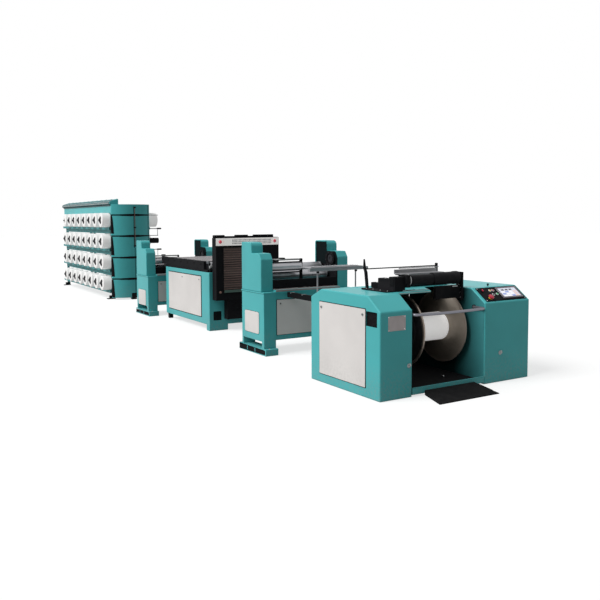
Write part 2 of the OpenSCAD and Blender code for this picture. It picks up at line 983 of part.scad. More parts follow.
// Bulged hollow covers, one per tier, that close the creel's front, with a foot under the lowest,
// and the canopy with its eave fascia along the operator's side
module creel_covers() {
    seams = [39, 446, 892, 1339, 1775, creel_h];
    gap = 26;
    ridge = 2100;
    bulge = 160;
    arc_r = (creel_w * creel_w / 4 + bulge * bulge) / (2 * bulge);
    half_turn = asin(creel_w / 2 / arc_r);
    nose = concat(
        [[-60, 0]],
        [
            for (i = [-6 : 6])
                let (a = half_turn * i / 6)
                [bulge - arc_r + arc_r * cos(a), creel_w / 2 + arc_r * sin(a)]
        ],
        [[-60, creel_w]]
    );
    canopy = [
        [-30, creel_h], [160, creel_h], [160, ridge], [-6, creel_h + 64], [-30, creel_h + 46]
    ];
    color(teal)
        translate([creel_x, creel_y, 0]) {
            for (i = [0 : 4])
                let (h = seams[i + 1] - seams[i] - (i < 4 ? gap : 0))
                translate([0, 0, seams[i]])
                    difference() {
                        linear_extrude(h)
                            polygon(nose);
                        translate([0, 0, sheet])
                            linear_extrude(h - 2 * sheet)
                                polygon(inset(nose, sheet));
                    }
            block([bulge - 90, creel_w / 2 - 50, 0], [bulge - 12, creel_w / 2 + 50, seams[0]]);
            translate([-creel_length - 85, 0, 0])
                rotate([90, 0, 90])
                    difference() {
                        linear_extrude(creel_length + 70)
                            polygon(canopy);
                        translate([0, 0, sheet])
                            linear_extrude(creel_length + 70 - 2 * sheet)
                                polygon(inset(canopy, sheet));
                    }
        }
}

// Where each package sits: column, tier, side; the side's own frame points outwards along -Y
module at_package(i, z, s) {
    translate([-first_column - i * column_pitch, s * (creel_w + far_shift), z])
        mirror([0, s, 0])
            children();
}

// Peg with three wings that just clear a tube's bore, carried by the peg rail; its end stands out
// of the package
module creel_pegs() {
    wing_t = 6;
    wing_r = sqrt(tube_r * tube_r - wing_t * wing_t / 4) - 0.1;
    color(black)
        translate([creel_x, creel_y, 0])
            for (i = [0 : columns - 1], z = tier_z, s = [0, 1])
                at_package(i, z, s) {
                    bar_y(24, -package_out - 30, post_in + 10 + s * far_shift);
                    for (a = [90, 210, 330])
                        rotate([0, a, 0])
                            block([0, -package_out + 24, -wing_t / 2], [wing_r, -10, wing_t / 2]);
                }
}

// The far side's first column carries a package on its top tier only
function has_package(i, z, s) = s == 0 || i > 0 || z == tier_z[3];

// Wound packages on their tubes, with round shoulders
module yarn_packages() {
    outer = package_d / 2;
    y0 = -package_out;
    y1 = y0 + package_length;
    color(yarn_white)
        translate([creel_x, creel_y, 0])
            for (i = [0 : columns - 1], z = tier_z, s = [0, 1])
                if (has_package(i, z, s))
                    at_package(i, z, s)
                        lathe_y([
                            [tube_r, y0 - 4], [tube_r + 7, y0 - 4], [tube_r + 7, y0 + 2],
                            [outer - 8, y0 + 2], [outer, y0 + 10], [outer, y1 - 10],
                            [outer - 8, y1 - 2], [tube_r + 7, y1 - 2], [tube_r + 7, y1],
                            [tube_r, y1]
                        ]);
}

// ---- Nodes ----

left_cabinet();
left_door();
door_lock(door_x[0] + lock_inset[0]);  // door_lock_rear
door_lock(door_x[1] - lock_inset[0]);  // door_lock_front
right_cabinet();
bay_tray();
rear_cover();
main_motor();
motor_pulley();
drive_belt();
spindle_housing();
drive_spindle();
beam_barrel();
flange(-1);  // flange_left
flange(1);  // flange_right
yarn_roll();
tail_sleeve();
tail_quill();
guide_roller();
roller_arm_left();
roller_arm_right();
comb_rail();
comb_reed();
filament_detector();
safety_bar();
foot_mat();
console_panel();
touch_screen();
color("#c01818") push_button(button_places[0], 26, 12, 20);  // emergency_button
color("#2f9a3c") push_button(button_places[2], 15, 5, 9);  // start_button
color("#c01818") push_button(button_places[1], 15, 5, 9);  // stop_button
front_latch(-636, 301);  // latch_left
front_latch(561, 301);  // latch_right
guide_table();
cable_duct();
stand_housing(stand1);  // stand1_housing
stand_hoods(stand1);  // stand1_hoods
stand_panel(stand1);  // stand1_panel
draw_roller(stand1, 0);  // stand1_roller_upper
draw_roller(stand1, 1);  // stand1_roller_rear
draw_roller(stand1, 2);  // stand1_roller_lower
stand_housing(stand2);  // stand2_housing
stand_hoods(stand2);  // stand2_hoods
stand_panel(stand2);  // stand2_panel
draw_roller(stand2, 0);  // stand2_roller_upper
draw_roller(stand2, 1);  // stand2_roller_rear
draw_roller(stand2, 2);  // stand2_roller_lower
roller_supports();
bench_cabinet();
bench_door();
bench_rails();
hot_plate();
bench_roller();
sensor_frame();
slat_curtain();
display_strip();
creel_frame();
creel_covers();
creel_pegs();
yarn_packages();
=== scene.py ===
# %% [markdown]
# A sectional warping line winds hundreds of yarns side by side on a beam. This notebook dresses
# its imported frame: the frame gives every place and every joint, and each cell adds a finish or a
# finer piece. The frame is loaded first, because all positions are read from it.

# %% Load the frame and note its box
import json
import math

import bmesh
import bpy
import numpy as np
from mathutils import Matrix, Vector

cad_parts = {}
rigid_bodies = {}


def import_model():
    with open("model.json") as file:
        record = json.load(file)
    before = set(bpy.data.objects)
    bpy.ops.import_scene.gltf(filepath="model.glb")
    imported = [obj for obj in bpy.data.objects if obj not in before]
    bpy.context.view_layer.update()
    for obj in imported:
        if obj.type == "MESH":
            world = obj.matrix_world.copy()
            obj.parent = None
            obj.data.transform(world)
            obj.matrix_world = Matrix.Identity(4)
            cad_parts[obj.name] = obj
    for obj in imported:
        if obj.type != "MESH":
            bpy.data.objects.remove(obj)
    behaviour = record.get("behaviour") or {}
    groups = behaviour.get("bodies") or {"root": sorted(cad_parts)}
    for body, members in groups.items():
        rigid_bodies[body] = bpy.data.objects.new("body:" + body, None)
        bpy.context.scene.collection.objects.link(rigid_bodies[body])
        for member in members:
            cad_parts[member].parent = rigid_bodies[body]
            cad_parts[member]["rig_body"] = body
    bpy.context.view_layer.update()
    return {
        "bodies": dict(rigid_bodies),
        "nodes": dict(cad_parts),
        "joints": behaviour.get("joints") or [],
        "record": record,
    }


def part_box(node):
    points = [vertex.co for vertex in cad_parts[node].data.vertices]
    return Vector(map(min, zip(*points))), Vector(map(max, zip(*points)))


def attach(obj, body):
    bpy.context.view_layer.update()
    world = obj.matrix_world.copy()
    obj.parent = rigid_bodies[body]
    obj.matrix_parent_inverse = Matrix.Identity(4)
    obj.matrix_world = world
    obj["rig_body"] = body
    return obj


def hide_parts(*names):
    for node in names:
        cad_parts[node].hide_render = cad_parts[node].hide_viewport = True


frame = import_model()
NODES = frame["nodes"]


def box(node):
    """Lowest and highest corner of a node's box."""
    return [np.array(corner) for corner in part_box(node)]


def low(node):
    """Lowest corner of a node's box."""
    return box(node)[0]


def high(node):
    """Highest corner of a node's box."""
    return box(node)[1]


# %% [markdown]
# A finish is a small program that gives every point a colour and a gloss. Such programs are
# easiest to read as sums, so one class wraps a node's output and lends it plus, minus, times and
# power.

# %% Sums of shader values


class Value:
    """A number socket of one finish, written like a number: 1 - mask, grain * 0.3."""

    def __init__(self, finish, socket):
        self.finish, self.socket = finish, socket

    def math(self, operation, a, b=0.0):
        """One Math node on two numbers or values."""
        return self.finish.node("ShaderNodeMath", {"operation": operation}, {0: a, 1: b})

    def wave(self):
        """The sine of the value, in radians."""
        return self.math("SINE", self)

    def ramp(self, start, end):
        """0 below start, 1 above end, straight between."""
        return self.finish.node(
            "ShaderNodeMapRange", {"clamp": True},
            {"Value": self, "From Min": start, "From Max": end},
        )


def operator(operation, turned=False):
    """The method that does one shader sum, with its two sides swapped if turned."""
    if turned:
        return lambda self, other: self.math(operation, other, self)
    return lambda self, other: self.math(operation, self, other)


for sign, operation in (("add", "ADD"), ("sub", "SUBTRACT"), ("mul", "MULTIPLY"), ("pow", "POWER")):
    setattr(Value, f"__{sign}__", operator(operation))
    setattr(Value, f"__r{sign}__", operator(operation, True))
print("values can be added, subtracted, multiplied and raised")

# %% [markdown]
# A finish has one surface shader, the point's place in metres along X, Y and Z, and a few helpers
# for noise, blends of two colours, and small bumps. One method makes any other node, so that the
# recipes below stay short.

# %% Finishes
finishes = {}


class Finish:
    """One material with its shader; all patterns read Object coordinates, which are the row's."""

    def __init__(self, name, colour, roughness, metallic=0.0, **constants):
        finishes[name] = self
        self.material = bpy.data.materials.new(name)
        self.material.use_nodes = True
        self.tree = self.material.node_tree
        self.shader = self.tree.nodes["Principled BSDF"]
        self.colour = (*colour, 1.0)
        self.material.diffuse_color = self.colour
        self.set("Base Color", self.colour)
        self.set("Roughness", roughness)
        self.set("Metallic", metallic)
        for socket, value in constants.items():
            self.set(socket.replace("_", " "), value)
        self.place = self.node("ShaderNodeTexCoord", output="Object")
        self.x, self.y, self.z = (
            self.node("ShaderNodeSeparateXYZ", inputs={0: self.place}, output=axis)
            for axis in "XYZ"
        )

    def node(self, kind, settings=None, inputs=None, output=0):
        """Adds a node: its settings first, then its sockets' values or links."""
        made = self.tree.nodes.new(kind)
        for key, value in (settings or {}).items():
            setattr(made, key, value)
        for key, value in (inputs or {}).items():
            if isinstance(value, Value):
                self.tree.links.new(value.socket, made.inputs[key])
            else:
                made.inputs[key].default_value = value
        return Value(self, made.outputs[output])

    def set(self, socket, value):
        """Puts a number on a socket of the surface shader, or links a value to it."""
        if isinstance(value, Value):
            self.tree.links.new(value.socket, self.shader.inputs[socket])
        else:
            self.shader.inputs[socket].default_value = value

    def stretched(self, sx, sy, sz):
        """Object coordinates scaled per axis: large numbers make fine detail along that axis."""
        return self.node("ShaderNodeMapping", inputs={"Vector": self.place, "Scale": (sx, sy, sz)})

    def noise(self, scale, detail=2.0, place=None):
        """Smooth noise from 0 to 1; its grains are about 1 / scale metres wide."""
        return self.node(
            "ShaderNodeTexNoise",
            inputs={"Vector": place or self.place, "Scale": scale, "Detail": detail},
        )

    def blend(self, mask, a, b):
        """Colour a where the mask is 0, b where it is 1."""
        mixed = {0: mask, 6: a, 7: b}
        return self.node("ShaderNodeMix", {"data_type": "RGBA"}, mixed, 2)

    def bump(self, height, distance):
        """Tilts the normal as if the surface rose by height times distance, in metres."""
        sockets = {"Height": height, "Distance": distance}
        self.set("Normal", self.node("ShaderNodeBump", inputs=sockets))


def shade(colour, k):
    """A colour made lighter or darker by the factor k."""
    return (*[min(1.0, c * k) for c in colour[:3]], 1.0)


print("a colour at half strength:", shade((0.2, 0.4, 0.6), 0.5))

# %% [markdown]
# Powder coat: sprayed dry and baked, so its surface has a fine orange peel. It could be a clean
# glossy colour, but a shop floor adds dust low down and on ledges, and sliding hands leave faint
# rubbed patches. Both are masks: one from height over the floor, one from stretched noise.

# %% Powder coats


def powder_coat(name, colour, roughness, dust=0.35, peel=0.00012, shine=0.14):
    """Colour + broad tone drift + dust that fades out 0.35 m over the floor + orange peel."""
    f = Finish(name, colour, roughness, Specular_IOR_Level=shine)
    drift = f.noise(1.7, 3.0).ramp(0.35, 0.65)
    colour_drift = f.blend(drift, shade(colour, 0.94), shade(colour, 1.05))
    specks = f.noise(38.0, 4.0).ramp(0.38, 0.72)
    floor_dust = (1 - f.z.ramp(0.02, 0.35)) * specks * dust
    rubbed = f.noise(6.0, 5.0, f.stretched(1, 1, 3.5)).ramp(0.60, 0.78) * 0.18
    dusty = f.blend(floor_dust, colour_drift, (0.30, 0.30, 0.28, 1))
    f.set("Base Color", f.blend(rubbed, dusty, shade(colour, 1.15)))
    f.set("Roughness", floor_dust * 0.5 + rubbed * 0.5 + drift * 0.05 + roughness)
    f.bump(f.noise(330.0, 1.0) + f.noise(70.0, 1.0) * 0.6, peel)
    return f


def record_colour(slot, k=1.0):
    """The colour that the record gives a material slot, times k."""
    materials = frame["record"]["materials"]
    return shade(next(m["base_color"] for m in materials if m["slot"] == slot), k)[:3]


teal = record_colour("teal_paint")
powder_coat("teal_paint", (teal[0] * 0.92, teal[1] * 1.10, teal[2] * 1.08), 0.34)
powder_coat("cream_paint", record_colour("cream_paint"), 0.42, dust=0.25)
powder_coat("black_paint", record_colour("black_paint", 0.28), 0.55, dust=0.03, shine=0.03)
powder_coat("motor_paint", record_colour("motor_paint"), 0.45, dust=0.6)
powder_coat("dark_band", (0.005, 0.009, 0.010), 0.6, dust=0.05, shine=0.03)
powder_coat("grey_teal", (0.075, 0.135, 0.145), 0.5)
# Darker teal for the creel frame's parts below 1.8 m: painted shade, as they lie in the packages'
# shadow.
powder_coat("frame_painted_shade", (0.066, 0.265, 0.275), 0.5)
# Painted shade for the walls inside the winder's bay: near black deep in the bay, lighter towards
# its mouth, where light falls in.
bay = powder_coat("bay_painted_shade", record_colour("teal_paint", 0.5), 0.5, shine=0.05)
bay_mouth = high("left_cabinet")[0]
lit = bay.x.ramp(bay_mouth - 0.42, bay_mouth + 0.08) * (bay.noise(5.0) * 0.3 + 0.85)
bay.set("Base Color", bay.blend(lit, shade(teal, 0.05), shade(teal, 0.75)))
powder_coat("grey_plate", (0.33, 0.27, 0.27), 0.45)
print("powder coats:", ", ".join(finishes))

# %% [markdown]
# Bright metal parts are turned, ground or brushed. The marks follow the tool: rings on what
# turned in a lathe, straight lines on what was brushed along its length. Rings about a Y axis are
# noise stretched so that it changes fast along Y; rings on a flat face need the distance from the
# axis, which is worked out from X and Z.

# %% Metals


def tooled(name, colour, roughness, grain, metallic=1.0, bump=0.00003, contrast=0.10):
    """Metal whose noise is stretched by grain = (x, y, z) frequencies, for lines or rings."""
    f = Finish(name, colour, roughness, metallic)
    lines = f.noise(1.0, 4.0, f.stretched(*grain))
    stains = f.noise(9.0, 4.0).ramp(0.5, 0.8)
    tone = f.blend(lines, shade(colour, 1 - contrast), shade(colour, 1 + contrast))
    f.set("Base Color", f.blend(stains * 0.35, tone, shade(colour, 0.72)))
    f.set("Roughness", lines * 0.14 + stains * 0.12 + roughness)
    f.bump(lines, bump)


def ringed(name, colour, roughness, axis_x, axis_z, pitch, metallic=1.0, contrast=0.16):
    """Faced metal: rings from the distance to an axis along Y, and radial wipe marks."""
    f = Finish(name, colour, roughness, metallic)
    dx, dz = f.x - axis_x, f.z - axis_z
    radius = (dx * dx + dz * dz) ** 0.5
    rings = f.noise(1.0, 3.0, f.node("ShaderNodeCombineXYZ", inputs={0: radius * (1 / pitch)}))
    wipe = f.noise(7.0, 5.0).ramp(0.35, 0.75)
    tone = f.blend(rings, shade(colour, 1 - contrast), shade(colour, 1 + contrast))
    f.set("Base Color", f.blend(wipe * 0.5, tone, shade(colour, 0.66)))
    f.set("Roughness", rings * 0.16 + wipe * 0.14 + roughness)
    f.bump(rings, 0.00005)


beam_axis = sum(box("flange_left")) / 2
tooled("turned_steel", record_colour("turned_steel"), 0.26, (6, 900, 6))
tooled("chrome_plate", record_colour("chrome_plate"), 0.10, (5, 420, 5), bump=0.00001,
       contrast=0.04)
tooled("folded_aluminium", record_colour("folded_aluminium"), 0.34, (700, 8, 700))
tooled("plate_metal", record_colour("plate_metal"), 0.38, (5, 500, 500), contrast=0.12)
tooled("heater_plate", (0.115, 0.115, 0.120), 0.5, (6, 400, 400), metallic=0.1, contrast=0.12)
tooled("reed_metal", (0.27, 0.27, 0.285), 0.42, (700, 8, 700), metallic=0.5)
tooled("rim_steel", (0.30, 0.25, 0.21), 0.38, (8, 300, 8), metallic=0.7)
tooled("worn_steel", (0.30, 0.31, 0.31), 0.38, (6, 300, 6), metallic=0.7)
tooled("draw_chrome", (0.42, 0.42, 0.44), 0.28, (5, 420, 5), metallic=0.75, bump=0.00001,
       contrast=0.05)
tooled("slat_edge", (0.20, 0.125, 0.11), 0.4, (10, 200, 300), metallic=0.2)
tooled("satin_bar", (0.20, 0.20, 0.23), 0.28, (8, 300, 8), metallic=0.8, contrast=0.06)
ringed("flange_metal", (0.33, 0.29, 0.245), 0.38, beam_axis[0], beam_axis[2], 0.0035)
# Near black for the near flange's outer face: painted shade, as that face lies in shadow.
ringed("flange_painted_shade", (0.028, 0.028, 0.030), 0.42, beam_axis[0], beam_axis[2], 0.006, metallic=0.3)
print("the beam turns about x", round(beam_axis[0], 4), "z", round(beam_axis[2], 4))

# %% [markdown]
# Castings, rubber and plastics. A casting has a pebbled skin, rubber is matt and shows grey dust,
# and moulded plastic has a fine grain. One recipe serves all: a noise of the grain's size for the
# bump, and a mask of dust over the colour.

# %% Castings, rubber, plastics


def pebbled(name, colour, roughness, size, depth, dust=0.2, **constants):
    """Coarse skin: one noise at the given size for the bump, a dust mask over the colour."""
    shine = 0.3 if max(colour) > 0.05 else 0.03
    f = Finish(name, colour, roughness, Specular_IOR_Level=shine, **constants)
    skin = f.noise(1.0 / size, 3.0)
    dusty = f.noise(14.0, 5.0).ramp(0.42, 0.8) * dust
    tone = f.blend(skin, shade(colour, 0.85), shade(colour, 1.25))
    f.set("Base Color", f.blend(dusty, tone, (0.24, 0.23, 0.22, 1)))
    f.set("Roughness", skin * 0.12 + dusty * 0.3 + roughness)
    f.bump(skin, depth)


pebbled("cast_housing", record_colour("cast_housing"), 0.5, 0.004, 0.0004)
pebbled("motor_dark", (0.035, 0.036, 0.040), 0.45, 0.003, 0.0002, dust=0.05)
pebbled("belt_rubber", record_colour("belt_rubber"), 0.7, 0.003, 0.0002, dust=0.3)
pebbled("mat_rubber", record_colour("mat_rubber", 0.35), 0.75, 0.002, 0.0002, dust=0.03)
pebbled("black_roller", record_colour("black_roller", 0.4), 0.42, 0.0015, 0.00006, dust=0.04)
pebbled("peg_plastic", record_colour("peg_plastic"), 0.35, 0.002, 0.00005)
pebbled("black_plastic", (0.007, 0.007, 0.008), 0.42, 0.0012, 0.00004, dust=0.03)
pebbled("red_button", (0.42, 0.018, 0.045), 0.28, 0.004, 0.00003, dust=0.04)
pebbled("green_button", record_colour("green_button"), 0.28, 0.004, 0.00003, dust=0.04)
pebbled("yellow_button", (0.80, 0.52, 0.03), 0.28, 0.004, 0.00003, dust=0.04)
pebbled("louvre_dark", (0.006, 0.006, 0.007), 0.6, 0.003, 0.0001, dust=0.03)
pebbled("foil_plate", (0.36, 0.33, 0.33), 0.36, 0.0015, 0.00003, dust=0.3, metallic=0.2)
pebbled("tray_lining", (0.055, 0.10, 0.085), 0.5, 0.004, 0.0001, dust=0.1)
pebbled("tube_card", (0.62, 0.60, 0.58), 0.6, 0.003, 0.0001, dust=0.1)
pebbled("copper_tone", (0.13, 0.075, 0.060), 0.45, 0.004, 0.0001, dust=0.1, metallic=0.5)
print("plain skins:", len(finishes))

# %% [markdown]
# The sensor's slats are brown plastic with a grain along their length. Yarn on a package lies in
# fine turns, so a sine along the axis gives its ribs, and a slow noise makes one package a little
# whiter than the next.

# %% Slats and yarn


def slat_finish(name, colour):
    """Brown slats: grain drawn out along Y, lighter along each upper edge where yarn rubs."""
    f = Finish(name, colour, 0.5)
    grain = f.noise(1.0, 5.0, f.stretched(120, 4, 160))
    broad = f.noise(3.0, 2.0)
    tone = f.blend(grain, shade(colour, 0.65), shade(colour, 1.6))
    f.set("Base Color", f.blend(broad.ramp(0.5, 0.8) * 0.4, tone, shade(colour, 0.5)))
    f.set("Roughness", grain * 0.2 + 0.38)
    f.bump(grain, 0.0002)


def yarn_finish(name, colour, pitch, glow):
    """Wound filament: ribs of one pitch along Y, crossed by fine fibre noise. A weak glow is
    painted light that keeps the yarn bright where it lies in shade."""
    f = Finish(name, colour, 0.72, Sheen_Weight=0.25, Sheen_Roughness=0.5)
    ribs = (f.y * (2 * math.pi / pitch)).wave() * 0.5 + 0.5
    fibre = f.noise(1.0, 4.0, f.stretched(60, 900, 60))
    soft = f.noise(2.3, 2.0).ramp(0.3, 0.7)
    tone = f.blend(ribs * 0.5 + fibre * 0.5, shade(colour, 0.93), shade(colour, 1.08))
    f.set("Base Color", f.blend(soft * 0.4, tone, shade(colour, 0.97)))
    f.set("Emission Color", tone)
    f.set("Emission Strength", glow)
    f.bump(ribs + fibre * 0.6, 0.0005)


slat_finish("slat_plastic", record_colour("slat_plastic", 0.55))
# Both yarn finishes glow weakly as painted light. The packages' copy has a darker base under its
# glow; the beam's copy keeps the full colour so it stays bright in the left cabinet's shadow.
yarn_finish("white_yarn", record_colour("white_yarn", 0.76), 0.0065, 0.42)
yarn_finish("beam_yarn_painted_glow", record_colour("white_yarn"), 0.0065, 0.42)
print("finishes:", len(finishes))

# %% [markdown]
# The screen and lamps glow a little, and a cream plate glows as painted light. A display is not one
# flat colour: its panels are thin plates of different tints over a dark ground, so each tint is a
# finish of its own with a faint glow.

# %% Glowing finishes


def glowing(name, colour, glow, roughness=0.18):
    """Colour with a weak glow that a fine cell pattern breaks up."""
    f = Finish(name, colour, roughness, Coat_Weight=0.5, Coat_Roughness=0.08)
    cells = f.noise(420.0, 1.0).ramp(0.3, 0.7)
    tone = f.blend(cells, shade(colour, 0.9), shade(colour, 1.08))
    f.set("Base Color", tone)
    f.set("Emission Color", tone)
    f.set("Emission Strength", glow)


glowing("screen_glass", record_colour("screen_glass"), 0.25)
glowing("screen_frame", (0.11, 0.09, 0.12), 0.0, 0.35)
glowing("screen_blue", (0.20, 0.28, 0.62), 0.35)
glowing("screen_white", (0.88, 0.88, 0.92), 0.35)
glowing("screen_dark", (0.03, 0.03, 0.05), 0.0)
glowing("screen_rose", (0.80, 0.55, 0.50), 0.25)
# A cream plate with a glow as painted light; it is no lamp.
glowing("lit_cream_painted_glow", (0.74, 0.72, 0.70), 0.42, 0.4)
glowing("lamp_red", (0.55, 0.02, 0.05), 0.25)
print("glowing:", [n for n in finishes if n.startswith(("screen", "lamp", "lit"))])

# %% [markdown]
# Every new piece is a grid of points: rows of a profile, columns round an axis or an outline. The
# grid could be filled point by point, but whole arrays are shorter to write and much faster. One
# function turns any such grids into a mesh, closes seams and poles, and faces it outwards.

# %% Grids into meshes
X, Y, Z = np.eye(3)
SIDES = {"-y": (X, Z, -Y), "+y": (-X, Z, Y), "+x": (Y, Z, X), "-x": (-Y, Z, -X), "+z": (X, Y, Z)}


def grid_faces(rows, columns, ring=False):
    """Quads between neighbours; columns always wrap round, rows only for a ring."""
    i, j = np.meshgrid(np.arange(rows if ring else rows - 1), np.arange(columns), indexing="ij")
    k = (i + 1) % rows
    right = (j + 1) % columns
    corners = (i * columns + j, i * columns + right, k * columns + right, k * columns + j)
    return np.stack(corners, -1).reshape(-1, 4)


def finish_mesh(mesh, sharp=35):
    """Smooth faces, with edges sharper than the given angle kept crisp."""
    mesh.polygons.foreach_set("use_smooth", np.ones(len(mesh.polygons), bool))
    mesh.set_sharp_from_angle(angle=math.radians(sharp))


def of(finish, *shapes):
    """The shapes, each an array of points and one of quads, paired with their finish."""
    return [(shape, finish) for shape in shapes]


def add_piece(name, parts, body="line_frame", replaces=(), sharp=35):
    """Joins (shape, finish) parts into one object that rides a body."""
    mesh = bpy.data.meshes.new(name)
    starts = np.cumsum([0] + [len(points) for (points, _), _ in parts])
    points = np.concatenate([p for (p, _), _ in parts])
    faces = np.concatenate([quads + start for ((_, quads), _), start in zip(parts, starts)])
    names = list(dict.fromkeys(finish for _, finish in parts))
    index = np.concatenate([np.full(len(q), names.index(f)) for (_, q), f in parts])
    mesh.vertices.add(len(points))
    mesh.vertices.foreach_set("co", points.astype(np.float32).ravel())
    mesh.loops.add(faces.size)
    mesh.loops.foreach_set("vertex_index", faces.ravel().astype(np.int32))
    mesh.polygons.add(len(faces))
    mesh.polygons.foreach_set("loop_start", np.arange(0, faces.size, 4, dtype=np.int32))
    mesh.polygons.foreach_set("material_index", index.astype(np.int32))
    mesh.update(calc_edges=True)
    for finish in names:
        mesh.materials.append(finishes[finish].material)
    shell = bmesh.new()
    shell.from_mesh(mesh)
    bmesh.ops.remove_doubles(shell, verts=shell.verts, dist=2e-6)
    bmesh.ops.recalc_face_normals(shell, faces=shell.faces)
    shell.to_mesh(mesh)
    shell.free()
    finish_mesh(mesh, sharp)
    made = bpy.data.objects.new(name, mesh)
    bpy.context.scene.collection.objects.link(made)
    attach(made, body)
    if replaces:
        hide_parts(*replaces)
    return made


frame_slots = {s["node"]: s["material_slot"] for s in frame["record"]["subparts"]}


def stand_in(node, name, parts, sharp=35):
    """A piece that takes a node's place and rides the node's own body."""
    return add_piece(name, parts, NODES[node]["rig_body"], [node], sharp)


print("sides:", ", ".join(SIDES))

# %% [markdown]
# Two surfaces make most of the hardware. A lathe swings a profile about an axis. A pad carries a
# rounded rectangle along its normal and pulls the last ring in for a soft edge; a border is the
# same with a hole.

# %% Lathe, pad and border


def lathe(profile, centre, axis=1, segments=48):
    """Row i is the circle of radius profile[i][0] at profile[i][1] along the axis."""
    radius, along = np.asarray(profile, float).T[:, :, None]
    turn = np.linspace(0, 2 * math.pi, segments, endpoint=False)
    points = np.empty((len(profile), segments, 3))
    points[..., axis] = along
    points[..., axis - 2] = radius * np.cos(turn)
    points[..., axis - 1] = radius * np.sin(turn)
    return (points + centre).reshape(-1, 3), grid_faces(len(profile), segments)


def outline(width, height, radius, steps=4):
    """Quarter circles of the radius about the four inner corners, in turn."""
    corner = np.linspace(0, math.pi / 2, steps)
    turns = corner + math.pi / 2 * np.arange(4)[:, None]
    reach = width / 2 - radius, height / 2 - radius
    inner = np.array([[1, 1], [-1, 1], [-1, -1], [1, -1]]) * reach
    arcs = radius * np.stack([np.cos(turns), np.sin(turns)], -1)
    return (arcs + inner[:, None]).reshape(-1, 2)


def carried(rings, side, centre, ring=False):
    """Each ring is (depth, outline); depth runs along the side's third direction."""
    u, v, w = SIDES[side] if isinstance(side, str) else side
    rows = [np.outer(o[:, 0], u) + np.outer(o[:, 1], v) + d * w for d, o in rings]
    points = np.stack(rows) + centre
    return points.reshape(-1, 3), grid_faces(len(rings), points.shape[1], ring)


def pad(centre, width, height, depth, side="-y", radius=0.004, edge=0.001):
    """Rounded rectangle with a soft front edge."""
    full = outline(width, height, radius)
    front = outline(width - 2 * edge, height - 2 * edge, max(radius - edge, radius * 0.3))
    rings = [(0, full * 0), (0, full), (depth - edge, full), (depth, front), (depth, full * 0)]
    return carried(rings, side, centre)


def border(centre, width, height, lip, depth, side="-y", radius=0.006):
    """Closed rectangular ring: outer wall, front, inner wall and back."""
    outer = outline(width, height, radius)
    inner = outline(width - 2 * lip, height - 2 * lip, max(radius - lip, 0.001))
    return carried([(0, outer), (depth, outer), (depth, inner), (0, inner)], side, centre, True)


print("an outline has", len(outline(1, 1, 0.1)), "points")

# %% [markdown]
# Bars, rods and handles are tubes: a circle carried along a path, square to it at every point.
# Screws are tiny lathes, built standing on the floor and turned to face the side they sit on.

# %% Tubes and screws


def tube(path, radius, segments=20, up=(0.3, 0.5, 0.8)):
    """At each path point a circle square to the path; both ends close to their middle."""
    path = np.asarray(path, float)
    along = np.gradient(path, axis=0)
    along /= np.linalg.norm(along, axis=1)[:, None]
    side = np.cross(along, up)
    side /= np.linalg.norm(side, axis=1)[:, None]
    other = np.cross(side, along)
    turn = np.linspace(0, 2 * math.pi, segments, endpoint=False)[None, :, None]
    skin = radius * (np.cos(turn) * side[:, None] + np.sin(turn) * other[:, None])
    rows = np.concatenate([skin[:1] * 0, skin, skin[-1:] * 0])
    middle = np.concatenate([path[:1], path, path[-1:]])[:, None]
    return (rows + middle).reshape(-1, 3), grid_faces(len(rows), segments)


def rounded_path(corners, radius, steps=7):
    """Straight runs joined by curves: each corner becomes a quadratic arc that starts and ends
    one radius away from it."""
    corners = np.asarray(corners, float)
    t = np.linspace(0, 1, steps)[:, None]
    path = [corners[:1]]
    for a, b, c in zip(corners, corners[1:], corners[2:]):
        start = b + (a - b) / np.linalg.norm(a - b) * radius
        end = b + (c - b) / np.linalg.norm(c - b) * radius
        path.append((1 - t) ** 2 * start + 2 * t * (1 - t) * b + t**2 * end)
    return np.concatenate(path + [corners[-1:]])


def facing(shape, side, centre):
    """A shape built about Z, turned to face a side and moved to its place."""
    frame = SIDES[side] if isinstance(side, str) else side
    return shape[0] @ np.array(frame) + centre, shape[1]


def screw(centre, side="-y", radius=0.008):
    """Socket screw: a washer, a head with a soft rim, and the hollow for its key."""
    r, h = radius, radius * 0.75
    profile = [(0, 0), (r * 1.45, 0), (r * 1.45, h * 0.2), (r, h * 0.2), (r, h * 0.9),
               (r * 0.88, h), (r * 0.5, h), (r * 0.5, h * 0.5), (0, h * 0.5)]
    return facing(lathe(profile, (0, 0, 0), 2, 16), side, centre)


def screws(finish, side, radius, spots):
    """Screws of one size at the spots."""
    return of(finish, *[screw(spot, side, radius) for spot in spots])


def on_circle(radius, count, start=0.0):
    """Evenly spread points (x, z) of a circle."""
    angles = start + np.arange(count) * 2 * math.pi / count
    return zip(radius * np.cos(angles), radius * np.sin(angles))


print("a screw has", len(screw((0, 0, 0))[1]), "faces")

# %% [markdown]
# Folded sheet has round bends where two broad walls meet, and crisp cut edges round its openings.
# The frame's casings have square corners. They could be remodelled, but a copy is enough: merge
# its loose triangles, then bevel only the convex edges between two broad faces.

# %% Sheet with round bends


